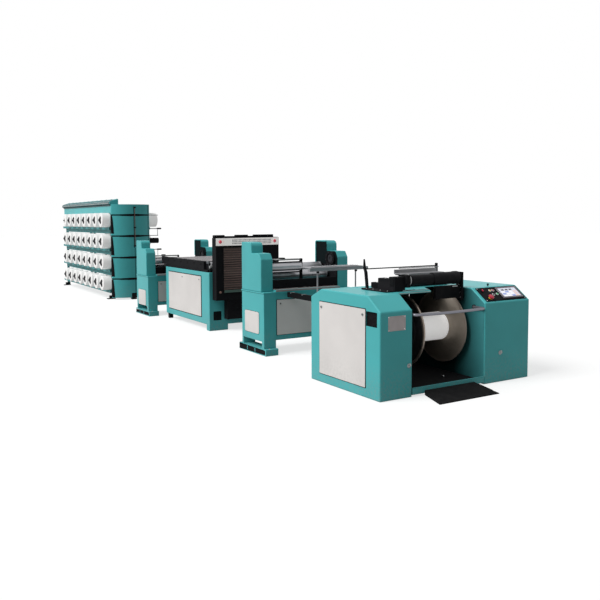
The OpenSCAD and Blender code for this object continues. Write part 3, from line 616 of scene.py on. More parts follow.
def bent_sheet(node, radius, finish, segments=4, broad=0.012, inside=None, most=400):
    """Copy of a node with rounded bends. Twice a face's area over its perimeter tells a broad
    wall from the thin edge of an opening. inside = (test on centre and normal, finish). A face
    with more than `most` corners, a comb of thin sheets' ends, is cut up and so stays sharp."""
    shell = bmesh.new()
    shell.from_mesh(NODES[node].data)
    bmesh.ops.remove_doubles(shell, verts=shell.verts, dist=1e-5)
    bmesh.ops.dissolve_limit(
        shell, angle_limit=math.radians(0.5), verts=shell.verts, edges=shell.edges
    )
    bmesh.ops.triangulate(shell, faces=[f for f in shell.faces if len(f.verts) > most])
    wide = {f for f in shell.faces if 2 * f.calc_area() / f.calc_perimeter() > broad}
    bends = [
        e for e in shell.edges
        if len(e.link_faces) == 2 and e.is_convex and set(e.link_faces) <= wide
        and 0.35 < e.calc_face_angle() < 2.8
    ]
    bmesh.ops.bevel(
        shell, geom=bends, offset=radius, segments=segments, profile=0.5, affect="EDGES",
        clamp_overlap=False,
    )
    if inside:
        for f in shell.faces:
            f.material_index = int(inside[0](f.calc_center_median(), f.normal))
    mesh = bpy.data.meshes.new(node + "_sheet")
    for key in [finish] + ([inside[1]] if inside else []):
        mesh.materials.append(finishes[key].material)
    shell.to_mesh(mesh)
    shell.free()
    finish_mesh(mesh, 30)
    made = bpy.data.objects.new(node + "_sheet", mesh)
    bpy.context.scene.collection.objects.link(made)
    made.modifiers.new("flat walls", "WEIGHTED_NORMAL").keep_sharp = True
    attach(made, NODES[node]["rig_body"])
    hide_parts(node)
    return len(bends)


for node, slot in frame_slots.items():
    NODES[node].data.materials.clear()
    NODES[node].data.materials.append(finishes[slot].material)
print("every node wears its slot's finish:", len(frame_slots))

# %% [markdown]
# The winder's two cabinets are bent from sheet. Their corners catch a light band, so they get the
# widest bends. The bay between them carries painted shade inside: its walls darken away from the
# mouth, and the back cover's inner and lower faces are painted dark as shade.

# %% Winder casings
front, top = high("left_cabinet")[[0, 2]]
left_y, right_y = low("left_cabinet")[1], high("right_cabinet")[1]
bay_left, bay_right = high("left_cabinet")[1], low("right_cabinet")[1]
# The walls that face into the bay wear the painted shade finish.
for node, wall, side in (("left_cabinet", bay_left, 1), ("right_cabinet", bay_right, -1)):
    print(node, "bends:", bent_sheet(node, 0.015, "teal_paint", inside=(
        lambda c, n: n.y * side > 0.9 and abs(c.y - wall) < 0.001, "bay_painted_shade")))
# The back cover's faces that look forward deep in the bay, and those that face down, are painted
# dark as shade.
bent_sheet("rear_cover", 0.010, "teal_paint", broad=0.006,
           inside=(lambda c, n: (n.x > 0.5 and c.x < front - 0.255) or n.z < -0.5, "dark_band"))
bent_sheet("left_door", 0.0025, "cream_paint", 2, 0.003)
print("bay", round(bay_right - bay_left, 3), "m wide")

# %% [markdown]
# A cover panel shuts against a rubber edging, which shows as a dark line round it. The two locks
# are quarter-turn rings with a dark core. Each lock rides its own body, so it can turn on the
# cover.

# %% Cover edging and locks


def edging(node, side, lip=0.007, depth=0.003):
    """Dark rounded pad behind a cover, a lip wider all round, half sunk under its face."""
    a, b = box(node)
    u, v, w = SIDES[side]
    size = abs(b - a)
    back = np.where(w > 0, a, b) * abs(w) + (a + b) / 2 * (1 - abs(w))
    return pad(back, size @ abs(u) + 2 * lip, size @ abs(v) + 2 * lip, depth, side, 0.010)


def ring_lock(centre, side="-y", r=0.014):
    """Bright ring of radius r with a soft rim, a sunk dark core and the slot for its key."""
    ring = [(0, 0), (r, 0), (r, 0.003), (r * 0.86, 0.0055), (r * 0.62, 0.0055),
            (r * 0.56, 0.002), (0, 0.002)]
    core = [(0, 0.0021), (r * 0.52, 0.0021), (r * 0.50, 0.0045), (0, 0.0045)]
    key_slot = pad((0, 0, 0.0045), r * 0.8, r * 0.16, 0.0006, "+z", 0.0008, 0.0002)
    shapes = [(lathe(ring, (0, 0, 0), 2, 28), "worn_steel"),
              (lathe(core, (0, 0, 0), 2, 28), "black_plastic"), (key_slot, "louvre_dark")]
    return [(facing(shape, side, centre), finish) for shape, finish in shapes]


add_piece("door_edging", of("dark_band", edging("left_door", "-y")))
for node in ("door_lock_rear", "door_lock_front"):
    middle = sum(box(node)) / 2
    middle[1] = low("left_door")[1]
    stand_in(node, node + "_ring", ring_lock(middle))
print("locks on the winder's cover: 2")

# %% [markdown]
# Beside the cover is a vent: a window in the sheet with sloping blades behind it. The rating
# plate is a thin foil plate on rivets, left bare.

# %% Vent and rating plate


def blades(x0, x1, z0, z1, y, count, lean=0.5):
    """Stack of thin slanted pads across a window, each leaning out at its lower edge."""
    slope = (X, (lean * Y + Z) / math.hypot(1, lean), (lean * Z - Y) / math.hypot(1, lean))
    pitch = (z1 - z0) / count
    places = z0 + (np.arange(count) + 0.5) * pitch
    return [pad(((x0 + x1) / 2, y, z), x1 - x0, 0.85 * pitch, 0.0012, slope, 0.001, 0.0003)
            for z in places]


vent = (front - 0.198, front - 0.048, 0.679, 0.805)
mid_x, mid_z = (vent[0] + vent[1]) / 2, (vent[2] + vent[3]) / 2
add_piece("side_vent", of("black_plastic", *blades(*vent, left_y + 0.007, 10))
          + of("louvre_dark", pad((mid_x, left_y + 0.030, mid_z), 0.17, 0.145, 0.004))
          + of("dark_band", border((mid_x, left_y + 0.0005, mid_z), 0.158, 0.134, 0.005, 0.0022,
                                   "-y", 0.003)))
plate = np.array([front, -0.781, 0.705])
rivet = [(0, 0), (0.0035, 0), (0.0026, 0.0018), (0, 0.0024)]
rivets = [plate + (0.0015, a * 0.094, b * 0.060) for a in (-1, 1) for b in (-1, 1)]
add_piece("rating_plate", of("foil_plate", pad(plate, 0.204, 0.136, 0.0016, "+x", 0.004, 0.0005))
          + of("grey_plate", border(plate + 0.0013 * X, 0.188, 0.120, 0.0012, 0.0006, "+x"))
          + of("chrome_plate", *[lathe(rivet, place, 0, 14) for place in rivets]))
print("rivets on the plate:", len(rivets))

# %% [markdown]
# T-handles open the lower flaps: a turned boss, a short stem and a bar across it. Each replaces a
# plain node and turns on that node's joint. A small knob on the roof is one more lathe.

# %% T-handles and knob
boss = [(0, 0), (0.021, 0), (0.021, 0.003), (0.017, 0.0055), (0.010, 0.006), (0.0085, 0.014),
        (0, 0.014)]
stem = [(0.019, 0, -0.004), (0.020, 0, 0.006), (0.0205, 0, 0.018), (0.020, 0, 0.024)]
grip = [(0.014, -0.013, 0), (0.021, -0.007, 0), (0.0225, 0, 0), (0.021, 0.007, 0),
        (0.014, 0.013, 0)]
handle_y, handle_z = {"latch_left": -0.636, "latch_right": 0.561}, 0.301
for node, y in handle_y.items():
    c = np.array([front, y, handle_z])
    shapes = lathe(boss, c, 0, 32), tube(c + stem, 0.0058, 16), tube(c + grip, 0.0048, 16)
    stand_in(node, node + "_handle", of("worn_steel", *shapes))
knob = [(0, -0.001), (0.011, -0.001), (0.011, 0.002), (0.006, 0.005), (0.006, 0.012),
        (0.012, 0.016), (0.013, 0.021), (0.009, 0.026), (0, 0.0275)]
add_piece("top_knob", of("black_plastic", lathe(knob, (front - 0.236, 0.628, top), 2, 28)))
print("T-handles at y", *handle_y.values())

# %% [markdown]
# The far side has its own service door, hinged at the front, and the back has a louvred cooling
# grille for the drive. Both are guesses from how such cabinets are built, kept plain.

# %% Service door and cooling grille
door_x, door_z = front - 0.60, 0.46
hinge = [(0, -0.035), (0.005, -0.035), (0.005, 0.035), (0, 0.035)]
parts = of("dark_band", pad((door_x, right_y - 0.002, door_z), 0.79, 0.66, 0.0025, "+y", 0.010))
parts += of("teal_paint",
            pad((door_x, right_y - 0.0005, door_z), 0.776, 0.646, 0.0035, "+y", 0.008))
parts += of("turned_steel", *[lathe(hinge, (front - 0.205, right_y - 0.002, door_z + dz), 2, 16)
                              for dz in (-0.26, 0, 0.26)])
for z in (0.70, 0.22):
    parts += ring_lock((front - 0.95, right_y + 0.003, z), "+y")
add_piece("service_door", parts)
rear = low("right_cabinet")[0]
louvre_z = np.arange(0.30, 0.56, 0.034)
add_piece("cooling_louvres", of("teal_paint", *[
    pad((rear + 0.0005, 0.66, z), 0.30, 0.014, 0.004, "-x", 0.006, 0.003) for z in louvre_z])
    + of("louvre_dark", *[
        pad((rear + 0.001, 0.66, z - 0.011), 0.29, 0.008, 0.0016, "-x", 0.003) for z in louvre_z]))
print("louvres:", len(louvre_z))

# %% [markdown]
# The beam: two turned flanges, a barrel, and yarn between them. A flange is a lathe profile: a
# thick bright rim, a thin web, a hub with bolts. The inner face of the far flange shows brushed
# light alloy; the near one's outer face is painted near black as shade, since it lies in shadow.
# Everything that turns rides the beam's body.

# %% Beam flanges
axis = np.array([beam_axis[0], 0.0, beam_axis[2]])
rim = (high("flange_left")[2] - low("flange_left")[2]) / 2
face = -high("flange_left")[1]


def flange_profile(side):
    """Radius and place along the axis, from the barrel out over the rim to the outer hub."""
    inner, rim_out, web, hub = face, face + 0.022, face + 0.012, face + 0.034
    profile = [
        (0.030, inner), (0.10, inner), (rim - 0.030, inner), (rim - 0.026, inner + 0.0025),
        (rim - 0.006, inner + 0.0025), (rim - 0.001, inner + 0.005), (rim - 0.0002, inner + 0.009),
        (rim - 0.0002, rim_out - 0.006), (rim - 0.004, rim_out - 0.001), (rim - 0.018, rim_out),
        (rim - 0.024, rim_out - 0.002), (rim - 0.028, web), (0.24, web), (0.236, web + 0.003),
        (0.214, web + 0.003), (0.210, web), (0.118, web), (0.108, web + 0.006),
        (0.100, hub - 0.003), (0.096, hub), (0.030, hub), (0.030, inner)]
    return [(r, side * s) for r, s in profile]


def flange_piece(node, side, outer_finish):
    """Lathe of the profile in three finishes: outer face, inner face and bright rim."""
    spots = [axis + (x, side * (face + 0.012), z) for x, z in on_circle(0.17, 12)]
    made = stand_in(node, node + "_turned",
                    of(outer_finish, lathe(flange_profile(side), axis, 1, 96))
                    + screws("turned_steel", (X, side * -Z, side * Y), 0.008, spots))
    for extra in ("flange_metal", "rim_steel"):
        made.data.materials.append(finishes[extra].material)
    for p in made.data.polygons:
        r = math.hypot(p.center.x - axis[0], p.center.z - axis[2])
        if r > rim - 0.0275:
            p.material_index = 3 if r > rim - 0.024 else 2
        elif abs(p.center.y) < face + 0.002:
            p.material_index = 2
    return len(made.data.polygons)


print("flange faces", flange_piece("flange_left", -1, "flange_painted_shade"),
      flange_piece("flange_right", 1, "flange_metal"))

# %% [markdown]
# Yarn on the beam lies dense and flat. A cylinder would look like card, so the profile carries a
# very small ripple along the axis, which catches the light as wound turns do.

# %% Yarn on the beam


def wound(radius, y0, y1, pitch, ripple, shoulder, centre, segments, rows):
    """Yarn body: radius + ripple * sine along the axis, drawn in over a shoulder at each end."""
    along = np.linspace(y0, y1, rows)
    into = np.minimum(np.minimum(along - y0, y1 - along) / shoulder, 1)
    body = radius - shoulder * (1 - np.sqrt(1 - (1 - into) ** 2))
    body += ripple * np.sin(along * 2 * math.pi / pitch)
    profile = [(radius * 0.45, y0), *zip(body, along), (radius * 0.45, y1), (radius * 0.45, y0)]
    return lathe(profile, centre, 1, segments)


yarn_r = (high("yarn_roll")[2] - low("yarn_roll")[2]) / 2
yarn = wound(yarn_r, -face + 0.001, face - 0.001, 0.0065, 0.0005, 0.004, axis, 96, 240)
stand_in("yarn_roll", "beam_yarn", of("beam_yarn_painted_glow", yarn), 60)
print("yarn radius", round(yarn_r, 3), "between faces at", round(face, 4))

# %% [markdown]
# The guard bar is one chromed tube, bent back at both ends to dark pivots on the cabinet walls.
# It trips the drive when a knee presses it down, so it rides its own hinge.

# %% Guard bar
bar_z, pivot_x, bar_x = 0.766, front - 0.140, front + 0.0155
ends = (bay_left + 0.0165, bay_right - 0.0165)
bar_w = ends[1] - ends[0]
corners = [(x, y, bar_z) for x, y in ((pivot_x, ends[0]), (bar_x, ends[0]), (bar_x, ends[1]),
                                      (pivot_x, ends[1]))]
path = rounded_path(corners, 0.045, 9)
between = np.linspace(path[9], path[10], 14)[1:-1]
path = np.concatenate([path[:10], between, path[10:]])
across = np.clip((path[:, 1] - sum(ends) / 2) / bar_w, -0.5, 0.5)
path[:, 2] -= 0.006 * np.cos(across * math.pi) * (path[:, 0] > front)
pivot = [(0, 0), (0.022, 0), (0.022, 0.014), (0.019, 0.017), (0.010, 0.017), (0.010, 0.021),
         (0, 0.021)]
pivots = [lathe([(r, side * s) for r, s in pivot], (pivot_x, wall + side * 0.001, bar_z), 1, 32)
          for wall, side in ((bay_left, 1), (bay_right, -1))]
stand_in("safety_bar", "guard_bar",
         of("satin_bar", tube(path, 0.0138, 24, up=(0.02, 0.03, 1)))
         + of("black_plastic", *pivots))
print("guard bar", round(bar_w, 3), "m wide")

# %% [markdown]
# The console is a dark panel let into the slanted top. Its places are easiest in a frame of its
# own: along Y, up the slant, and out of it. The display has a dark bezel round rows of
# soft-coloured tiles. Nothing is written on it.

# %% Console panel and display
slant_rise, slant_run, slant_foot = 0.138, 0.187, 0.815
cos, sin = np.array([slant_run, slant_rise]) / math.hypot(slant_rise, slant_run)
SLANT = (Y, sin * Z - cos * X, sin * X + cos * Z)


def on_slant(y, up, out=0.0):
    """A point of the console: y across, up the slant from its front edge, out of it."""
    return np.array([front, 0, slant_foot]) + np.array([y, up, out]) @ np.array(SLANT)


panel_lo, panel_hi = low("console_panel")[1], high("console_panel")[1]
screen = (0.786, 0.122)
add_piece("console_trim", of("dark_band", border(
    on_slant((panel_lo + panel_hi) / 2, 0.117, 0.002), panel_hi - panel_lo - 0.004, 0.197, 0.005,
    0.0035, SLANT))
    + of("black_plastic", border(on_slant(*screen, 0.004), 0.316, 0.184, 0.014, 0.0022, SLANT))
    + screws("turned_steel", SLANT, 0.0045, [
        on_slant(y, up, 0.004) for y in (0.392, 0.941) for up in (0.031, 0.203)]))


def tile(y, up, width, height):
    """One coloured plate of the display."""
    return pad(on_slant(y, up, 0.0108), width, height, 0.0006, SLANT, 0.002, 0.0002)


tiles = of("screen_frame", pad(on_slant(*screen), 0.290, 0.160, 0.0105, SLANT, 0.006, 0.002),
           border(on_slant(*screen, 0.0100), 0.286, 0.156, 0.010, 0.0026, SLANT, 0.005))
tiles += of("screen_glass",
            pad(on_slant(*screen, 0.0098), 0.246, 0.122, 0.0012, SLANT, 0.002, 0.0004))
tiles += of("screen_dark", *[tile(0.715 + 0.056 * i, 0.157, 0.040, 0.022) for i in range(3)])
for column in range(4):
    for row in range(3):
        tint = ("white", "blue", "white")[(row + column) % 3] if column < 3 else "rose"
        place = 0.700 + 0.056 * column, 0.127 - 0.028 * row
        tiles += of("screen_" + tint, tile(*place, 0.046, 0.020))
stand_in("touch_screen", "display", tiles)
print("tiles on the display:", len(tiles) - 3)

# %% [markdown]
# Push buttons are turned shapes too: a red mushroom on a yellow collar for the emergency stop,
# and low caps in bright collars for the rest. Profiles are written once and stood on the slant.
# The three that work ride their own bodies, because they press in.

# %% Push buttons
mushroom = [(0, -0.020), (0.0115, -0.020), (0.0115, 0.0165), (0.0270, 0.0175), (0.0298, 0.0205),
            (0.0302, 0.0255), (0.0280, 0.0305), (0.0185, 0.0340), (0.010, 0.0355), (0, 0.0360)]
flat_cap = [(0, -0.020), (0.0112, -0.020), (0.0112, 0.006), (0.0112, 0.0085), (0.0095, 0.0098),
            (0.006, 0.0092), (0, 0.0090)]
lens_cap = [(0, 0.004)] + [(r * 0.9, max(h, 0.004)) for r, h in flat_cap[1:]]
collar = [(0.0119, 0.0035), (0.0165, 0.0035), (0.0165, 0.0065), (0.0148, 0.0080),
          (0.0119, 0.0080), (0.0119, 0.0035)]
wide_collar = [(r + 0.004 * (i in (1, 2, 3)), h) for i, (r, h) in enumerate(collar)]
switch = [(0, 0.003), (0.016, 0.003), (0.016, 0.012), (0.012, 0.014), (0, 0.014)]
places = {"emergency": (0.465, 0.060), "stop": (0.588, 0.168), "start": (0.604, 0.112),
          "yellow": (0.545, 0.168), "black": (0.548, 0.108), "switch": (0.432, 0.165)}


def button(profile, name, segments=32):
    """A lathe shape stood on the console."""
    return facing(lathe(profile, (0, 0, 0), 2, segments), SLANT, on_slant(*places[name]))


for name, profile, tint, segments in (("emergency", mushroom, "red", 40),
                                      ("stop", flat_cap, "red", 32),
                                      ("start", flat_cap, "green", 32)):
    stand_in(name + "_button", name + "_cap",
             of(tint + "_button", button(profile, name, segments)))
add_piece("console_fittings",
          of("yellow_button", button(wide_collar, "emergency"), button(lens_cap, "yellow"))
          + of("turned_steel", *[button(collar, name)
                                 for name in ("stop", "start", "yellow", "black")])
          + of("black_plastic", button(lens_cap, "black"), button(switch, "switch"))
          + of("red_button", pad(on_slant(*places["switch"], 0.014), 0.006, 0.028, 0.012, SLANT,
                                 0.002, 0.001)))
print("buttons ride bodies that press in along the console's normal")

# %% [markdown]
# Over the beam the yarn passes a reed and a black guide roller. The reed is a row of thin dents
# in a folded aluminium holder; each dent could be its own object, but one shape repeated by
# adding a row of steps makes the whole row at once.

# %% Repeating a shape


def repeated(shape, steps):
    """One copy of the shape for each step, all in one pair of arrays."""
    points, faces = shape
    steps = np.asarray(steps, float)
    offsets = (np.arange(len(steps)) * len(points))[:, None, None]
    return (points[None] + steps[:, None]).reshape(-1, 3), (faces[None] + offsets).reshape(-1, 4)


def in_row(shape, values, axis):
    """The shape repeated at the values along one axis."""
    return repeated(shape, np.outer(values, axis))


def bar(a, b, radius=0.0015, segments=6):
    """Thin straight rod between two points."""
    return tube(np.linspace(np.asarray(a, float), np.asarray(b, float), 3), radius, segments)


reed_lo, reed_hi = box("comb_reed")
dent_x = reed_lo[0] + 0.060
dent_y = np.arange(reed_lo[1] + 0.02, reed_hi[1] - 0.02, 0.006)
dent = bar((dent_x, 0, reed_hi[2] - 0.038), (dent_x, 0, reed_hi[2] + 0.016), 0.0009, 5)
cap_rail = pad((dent_x, (reed_lo[1] + reed_hi[1]) / 2, reed_hi[2] + 0.014), 0.010,
               reed_hi[1] - reed_lo[1] - 0.03, 0.006, "+z", 0.002)
add_piece("reed_dents", of("worn_steel", in_row(dent, dent_y, Y)) + of("reed_metal", cap_rail),
          "comb")
bent_sheet("comb_reed", 0.002, "reed_metal", 3, 0.003)
print("dents in the reed:", len(dent_y))

# %% [markdown]
# The guide roller is a dark drum that is thicker toward one end. It could be a stack of
# cylinders, but one lathe profile gives its steps soft edges that catch the light.

# %% Guide roller
roll_lo, roll_hi = box("guide_roller")
roll = (roll_lo + roll_hi) / 2 * (1, 0, 1)
drum = [(0, -0.420), (0.012, -0.420), (0.012, -0.366), (0.048, -0.366), (0.051, -0.363),
        (0.051, -0.0805), (0.0605, -0.080), (0.062, -0.078), (0.062, 0.199), (0.0655, 0.2005),
        (0.066, 0.202), (0.066, 0.254), (0.063, 0.2575), (0.050, 0.2575), (0.046, 0.253),
        (0.030, 0.253), (0.026, 0.2575), (0.012, 0.258), (0.012, 0.306), (0, 0.306)]
cap = [(0.0135, -0.450), (0.054, -0.450), (0.058, -0.446), (0.058, -0.375), (0.055, -0.372),
       (0.0135, -0.372), (0.0135, -0.450)]
silver = [(0.0575, -0.4010), (0.0620, -0.4005), (0.0626, -0.3995), (0.0626, -0.3925),
          (0.0620, -0.3915), (0.0575, -0.3910), (0.0575, -0.4010)]
face_bolts = [roll + (x, 0.2575, z) for x, z in on_circle(0.038, 6)]
stand_in("guide_roller", "guide_roller_turned",
         of("black_roller", lathe(drum, roll, 1, 64))
         + screws("turned_steel", "+y", 0.004, face_bolts))
print("guide roller", round(roll_hi[1] - roll_lo[1], 3), "m over its ends")

# %% [markdown]
# Its arms, the reed's rail and the detector's post are black bent plate. The right arm has a
# field of drilled holes, shown as dark rings; a cap with a bright ring covers the left bearing,
# and a small casting stands behind it.

# %% Roller arms and the detector post
for node, width in (("roller_arm_left", 0.006), ("roller_arm_right", 0.004),
                    ("comb_rail", 0.003), ("filament_detector", 0.0025)):
    print(node, "bends:", bent_sheet(node, width, "black_paint", 2, 0.004))
arm_lo, arm_hi = box("roller_arm_right")
hole_z = np.linspace(arm_lo[2] + 0.03, arm_hi[2] - 0.12, 9)
holes = [(arm_hi[0] - 0.020 - 0.022 * (i % 3), arm_lo[1] - 0.0002, z) for i, z in enumerate(hole_z)]
ring_hole = [(0, -0.0004), (0.0065, -0.0004), (0.0068, -0.0016), (0.0085, -0.0016),
             (0.0085, 0.001), (0, 0.001)]
add_piece("arm_fittings",
          of("black_plastic", lathe(cap, roll, 1, 64),
             pad((front - 0.322, 0.123, 0.915), 0.335, 0.130, 0.034, "+x", 0.010, 0.003),
             pad((front - 0.328, -0.5752, 1.045), 0.060, 0.070, 0.004, "-y", 0.006))
          + of("worn_steel", lathe(silver, roll, 1, 64),
               pad((front - 0.2885, 0.215, 0.970), 0.070, 0.012, 0.0015, "+x", 0.002, 0.0004))
          + of("turned_steel", *[lathe(ring_hole, hole, 1, 16) for hole in holes])
          + screws("turned_steel", "-y", 0.007, [arm_lo + (0.02, 0.001, z) for z in (0.03, 0.08)])
          + screws("turned_steel", "+z", 0.006, [
              (front - x, y, z) for x, y, z in (
                  (0.31, -0.640, top + 0.012), (0.42, -0.640, top + 0.012),
                  (0.53, -0.640, top + 0.012), (0.64, -0.640, top + 0.012),
                  (0.466, -0.54, 1.072), (0.466, -0.49, 1.072), (0.625, -0.515, 1.020))]))
print("holes in the right arm:", len(holes))

# %% [markdown]
# In the bay the floor carries a drain plug, the sill shows a painted edge, and a dark seam and a
# steel edge dress the back cover's shelf. The shelf's slot shows a dark plate that hangs under
# it.

# %% Bay details
sill, bay_y, bay_w = high("bay_tray")[2], (bay_left + bay_right) / 2, bay_right - bay_left
cover_screws = [(front - x, y, top) for x in (0.66, 0.92)
                for y in (bay_left + 0.03, -0.13, bay_right - 0.03)]
add_piece("bay_details",
          of("teal_paint",
             pad((front - 0.006, bay_y, sill - 0.0005), 0.012, bay_w - 0.004, 0.002, "+z",
                 0.002, 0.0006),
             pad((front - 0.0005, bay_y, sill - 0.031), bay_w - 0.004, 0.058, 0.0015, "+x",
                 0.002, 0.0006))
          + of("louvre_dark", pad((front - 0.360, -0.310, top - 0.0075), 0.060, 0.160, 0.003,
                                  "+z", 0.028))
          + of("dark_band", pad((front - 0.382, -0.200, top - 0.0002), 0.270, 0.004, 0.0008,
                                "+z", 0.001, 0.0002))
          + of("worn_steel", pad((front - 0.2405, (bay_left - 0.15) / 2, top - 0.012),
                                 -0.165 - bay_left, 0.005, 0.0012, "+x", 0.001, 0.0003))
          + screws("chrome_plate", "+z", 0.010, [(front - 0.330, 0.110, 0.054)])
          + screws("chrome_plate", "+z", 0.005, cover_screws))
print("sill at", round(sill, 3), "m")

# %% [markdown]
# The guide table is a folded aluminium plate on two thin posts. The duct behind it is a black
# tray with a clipped lid. Small pins on the plate keep the yarns apart.

# %% Guide table and cable duct
bent_sheet("guide_table", 0.002, "reed_metal", 2, 0.004)
table_lo, table_hi = box("guide_table")
pin_x, post_x, deck = table_hi[0] - 0.05, table_hi[0] - 0.0375, table_hi[2]
pins_y = np.arange(table_lo[1] + 0.05, table_hi[1] - 0.12, 0.024)
pin = bar((pin_x, 0, deck - 0.001), (pin_x, 0, deck + 0.020), 0.0016, 8)
collar = [(0.009, 0), (0.017, 0), (0.017, 0.014), (0.014, 0.018), (0.009, 0.018), (0.009, 0)]
posts_y = (-0.400, 0.148)
collars = [lathe(collar, (post_x, y, z), 2, 24) for y in posts_y for z in (0.0142, deck - 0.066)]
feet_bolts = [(post_x + 0.034 * math.cos(a), y + 0.034 * math.sin(a), 0.014)
              for y in posts_y for a in np.arange(3) * 2.094 + 0.5]
add_piece("table_fittings", of("chrome_plate", in_row(pin, pins_y, Y))
          + of("black_plastic", pad((pin_x, (pins_y[0] + pins_y[-1]) / 2, deck - 0.0004), 0.014,
                                    pins_y[-1] - pins_y[0] + 0.03, 0.004, "+z", 0.003), *collars)
          + screws("turned_steel", "+z", 0.004, feet_bolts))
bent_sheet("cable_duct", 0.003, "black_paint", 2, 0.004)
duct_lo, duct_hi = box("cable_duct")
mid, size = (duct_lo + duct_hi) / 2, duct_hi - duct_lo
clips = np.arange(duct_lo[0] + 0.08, duct_hi[0] - 0.05, 0.26)
clip = pad((0, mid[1], duct_hi[2] - 0.010), 0.018, size[1] + 0.005, 0.0118, "+z", 0.002, 0.0008)
lid = pad((mid[0], duct_lo[1] + 0.0006, duct_hi[2] - 0.012), size[0] - 0.006, 0.0022, 0.0016,
          "-y", 0.0008, 0.0003)
add_piece("duct_clips", of("turned_steel", in_row(clip, clips, X)) + of("louvre_dark", lid))
print("pins on the guide table:", len(pins_y))

# %% [markdown]
# The two roller stands are alike, so one function dresses both. Hoods and pillars are bent sheet,
# with a lip where they meet; the hoods' inner faces are painted dark as shade. The skids are
# channels on round feet, with a dark pad along each as painted shade inside the channel.

# %% Stand covers and skids


def stand_box(k):
    """Stand k: its middle, half width, inner wall, the hoods' lower edge, its back and nose."""
    lo, hi = box(f"stand{k}_hoods")
    half = (hi[1] - lo[1]) / 2
    return (lo[1] + hi[1]) / 2, half, half - 0.168, lo[2], lo[0], hi[0] + 0.067


skid_foot = [(0, 0), (0.024, 0), (0.024, 0.010), (0.010, 0.014), (0.010, 0.030), (0, 0.030)]


def dress_stand(k):
    """Bends, covers, lips, feet and locks of stand k, placed from its hoods."""
    housing, hoods, panel = (f"stand{k}_{part}" for part in ("housing", "hoods", "panel"))
    mid_y, half, wall, head, back, nose = stand_box(k)
    mid_x, length = (back + nose) / 2, nose - back
    # The hoods' inner faces, between the walls and on the right hood's inside above its lower edge,
    # are painted dark as shade.
    bent_sheet(hoods, 0.010, "teal_paint", inside=(
        lambda c, n: c.y > mid_y and n.y < -0.5 and c.z > head + 0.03
        or abs(c.y - mid_y) < wall - 0.001, "dark_band"))
    bent_sheet(housing, 0.007, "teal_paint", 3, 0.030)
    bent_sheet(panel, 0.002, "cream_paint", 2, 0.003)
    parts = of("dark_band", edging(panel, "+x", 0.006, 0.0020))
    for out, side in ((-1, "-y"), (1, "+y")):
        y = mid_y + out * half
        window = mid_x - 0.018, y, head - 0.386
        parts += of("teal_paint",
                    pad((mid_x, y, head - 0.008), length + 0.010, 0.016, 0.005, side, 0.003),
                    *[pad((back + x, y + out * 0.0046, 0.041), 0.014, 0.050, 0.0012, side,
                          0.002, 0.0004) for x in (0.15, 0.35)])
        parts += of("dark_band",
                    pad((mid_x, y, head - 0.018), length, 0.004, 0.001, side, 0.001, 0.0003),
                    pad(window - out * 0.001 * Y, 0.375, 0.276, 0.0022, side, 0.028))
        parts += of("cream_paint", pad(window, 0.366, 0.268, 0.0045, side, 0.026, 0.0015))
        # A dark pad along the skid stands for the channel's inside: painted shade.
        parts += of("louvre_dark", pad((mid_x - 0.008, y + out * 0.0045, 0.041), length + 0.085,
                                       0.048, 0.0006, side, 0.004, 0.0002))
        parts += screws("turned_steel", "+z", 0.010, [
            (x, y - out * 0.06, 0.082) for x in (back - 0.035, nose + 0.028)])
        parts += of("black_plastic", lathe(skid_foot, (back - 0.03, y - out * 0.09, 0.0), 2, 24))
    p_lo, p_hi = box(panel)
    locks = [lock for y in (p_lo[1] + 0.048, p_hi[1] - 0.048)
             for lock in ring_lock((p_hi[0] - 0.004, y, p_hi[2] - 0.046), "+x", 0.012)]
    add_piece(f"stand{k}_locks", locks, panel)
    tray = head + 0.024
    parts += of("grey_plate",
                pad((nose - 0.10, mid_y, tray - 0.0005), 0.17, 2 * wall - 0.01, 0.0018, "+z"),
                pad((nose - 0.0008, mid_y, tray - 0.012), 2 * wall - 0.004, 0.020, 0.0018, "+x",
                    0.003))
    inner_y, crest = mid_y + wall - 0.003, high(hoods)[2] - 0.007
    rim_path = rounded_path([(back + 0.007, inner_y, head + 0.31), (back + 0.007, inner_y, crest),
                             (nose - 0.321, inner_y, crest)], 0.03)
    parts += of("teal_paint", tube(rim_path, 0.0085, 10, up=(0.02, 1, 0.03)))
    add_piece(f"stand{k}_trim", parts)


print("stand 1 is", round(2 * stand_box(1)[1], 3), "m wide")

# %% [markdown]
# The draw rollers are hard chromed, with a ground groove near each end and four bolts in the end
# face. Both ends share one half profile, written once and mirrored. Each roller rides its own
# body, because all three turn.

# %% Draw rollers


def two_ended(half, y0, y1):
    """Half a profile from y0 inwards, then its mirror image out to y1."""
    return [(r, y0 + s) for r, s in half] + [(r, y1 - s) for r, s in half[::-1]]


def draw_roller(k, which):
    """Lathe: journal, chamfered end face with a ground groove, the chromed barrel, and back."""
    node = f"stand{k}_roller_{which}"
    a, b = box(node)
    c = (a + b) / 2 * (1, 0, 1)
    r, journal = (b[2] - a[2]) / 2, 0.0148
    left, right = a[1] + 0.048, b[1] - (0.023 if which == "upper" else 0.074)
    half = [(journal, 0), (0.040, 0), (0.042, 0.003), (r - 0.008, 0.003), (r - 0.002, 0),
            (r, 0.003), (r, 0.016), (r - 0.0015, 0.018), (r - 0.0015, 0.022), (r, 0.024)]
    profile = [(0, a[1]), (journal, a[1]), *two_ended(half, left, right), (journal, b[1]),
               (0, b[1])]
    bolts = [c + (x, right, z) for x, z in on_circle(0.030, 4)]
    stand_in(node, node + "_chromed", of("draw_chrome", lathe(profile, c, 1, 72))
             + screws("black_plastic", "+y", 0.004, bolts))
    return round(right - left, 3)


for k in (1, 2):
    dress_stand(k)
    print("stand", k, "rollers", [draw_roller(k, which) for which in ("upper", "rear", "lower")])

# %% [markdown]
# The black supports carry a round bearing cover with a hub and a ring of screws, a clamp block on
# the cover rail, and a nip gauge. They are plates and blocks with eased edges.

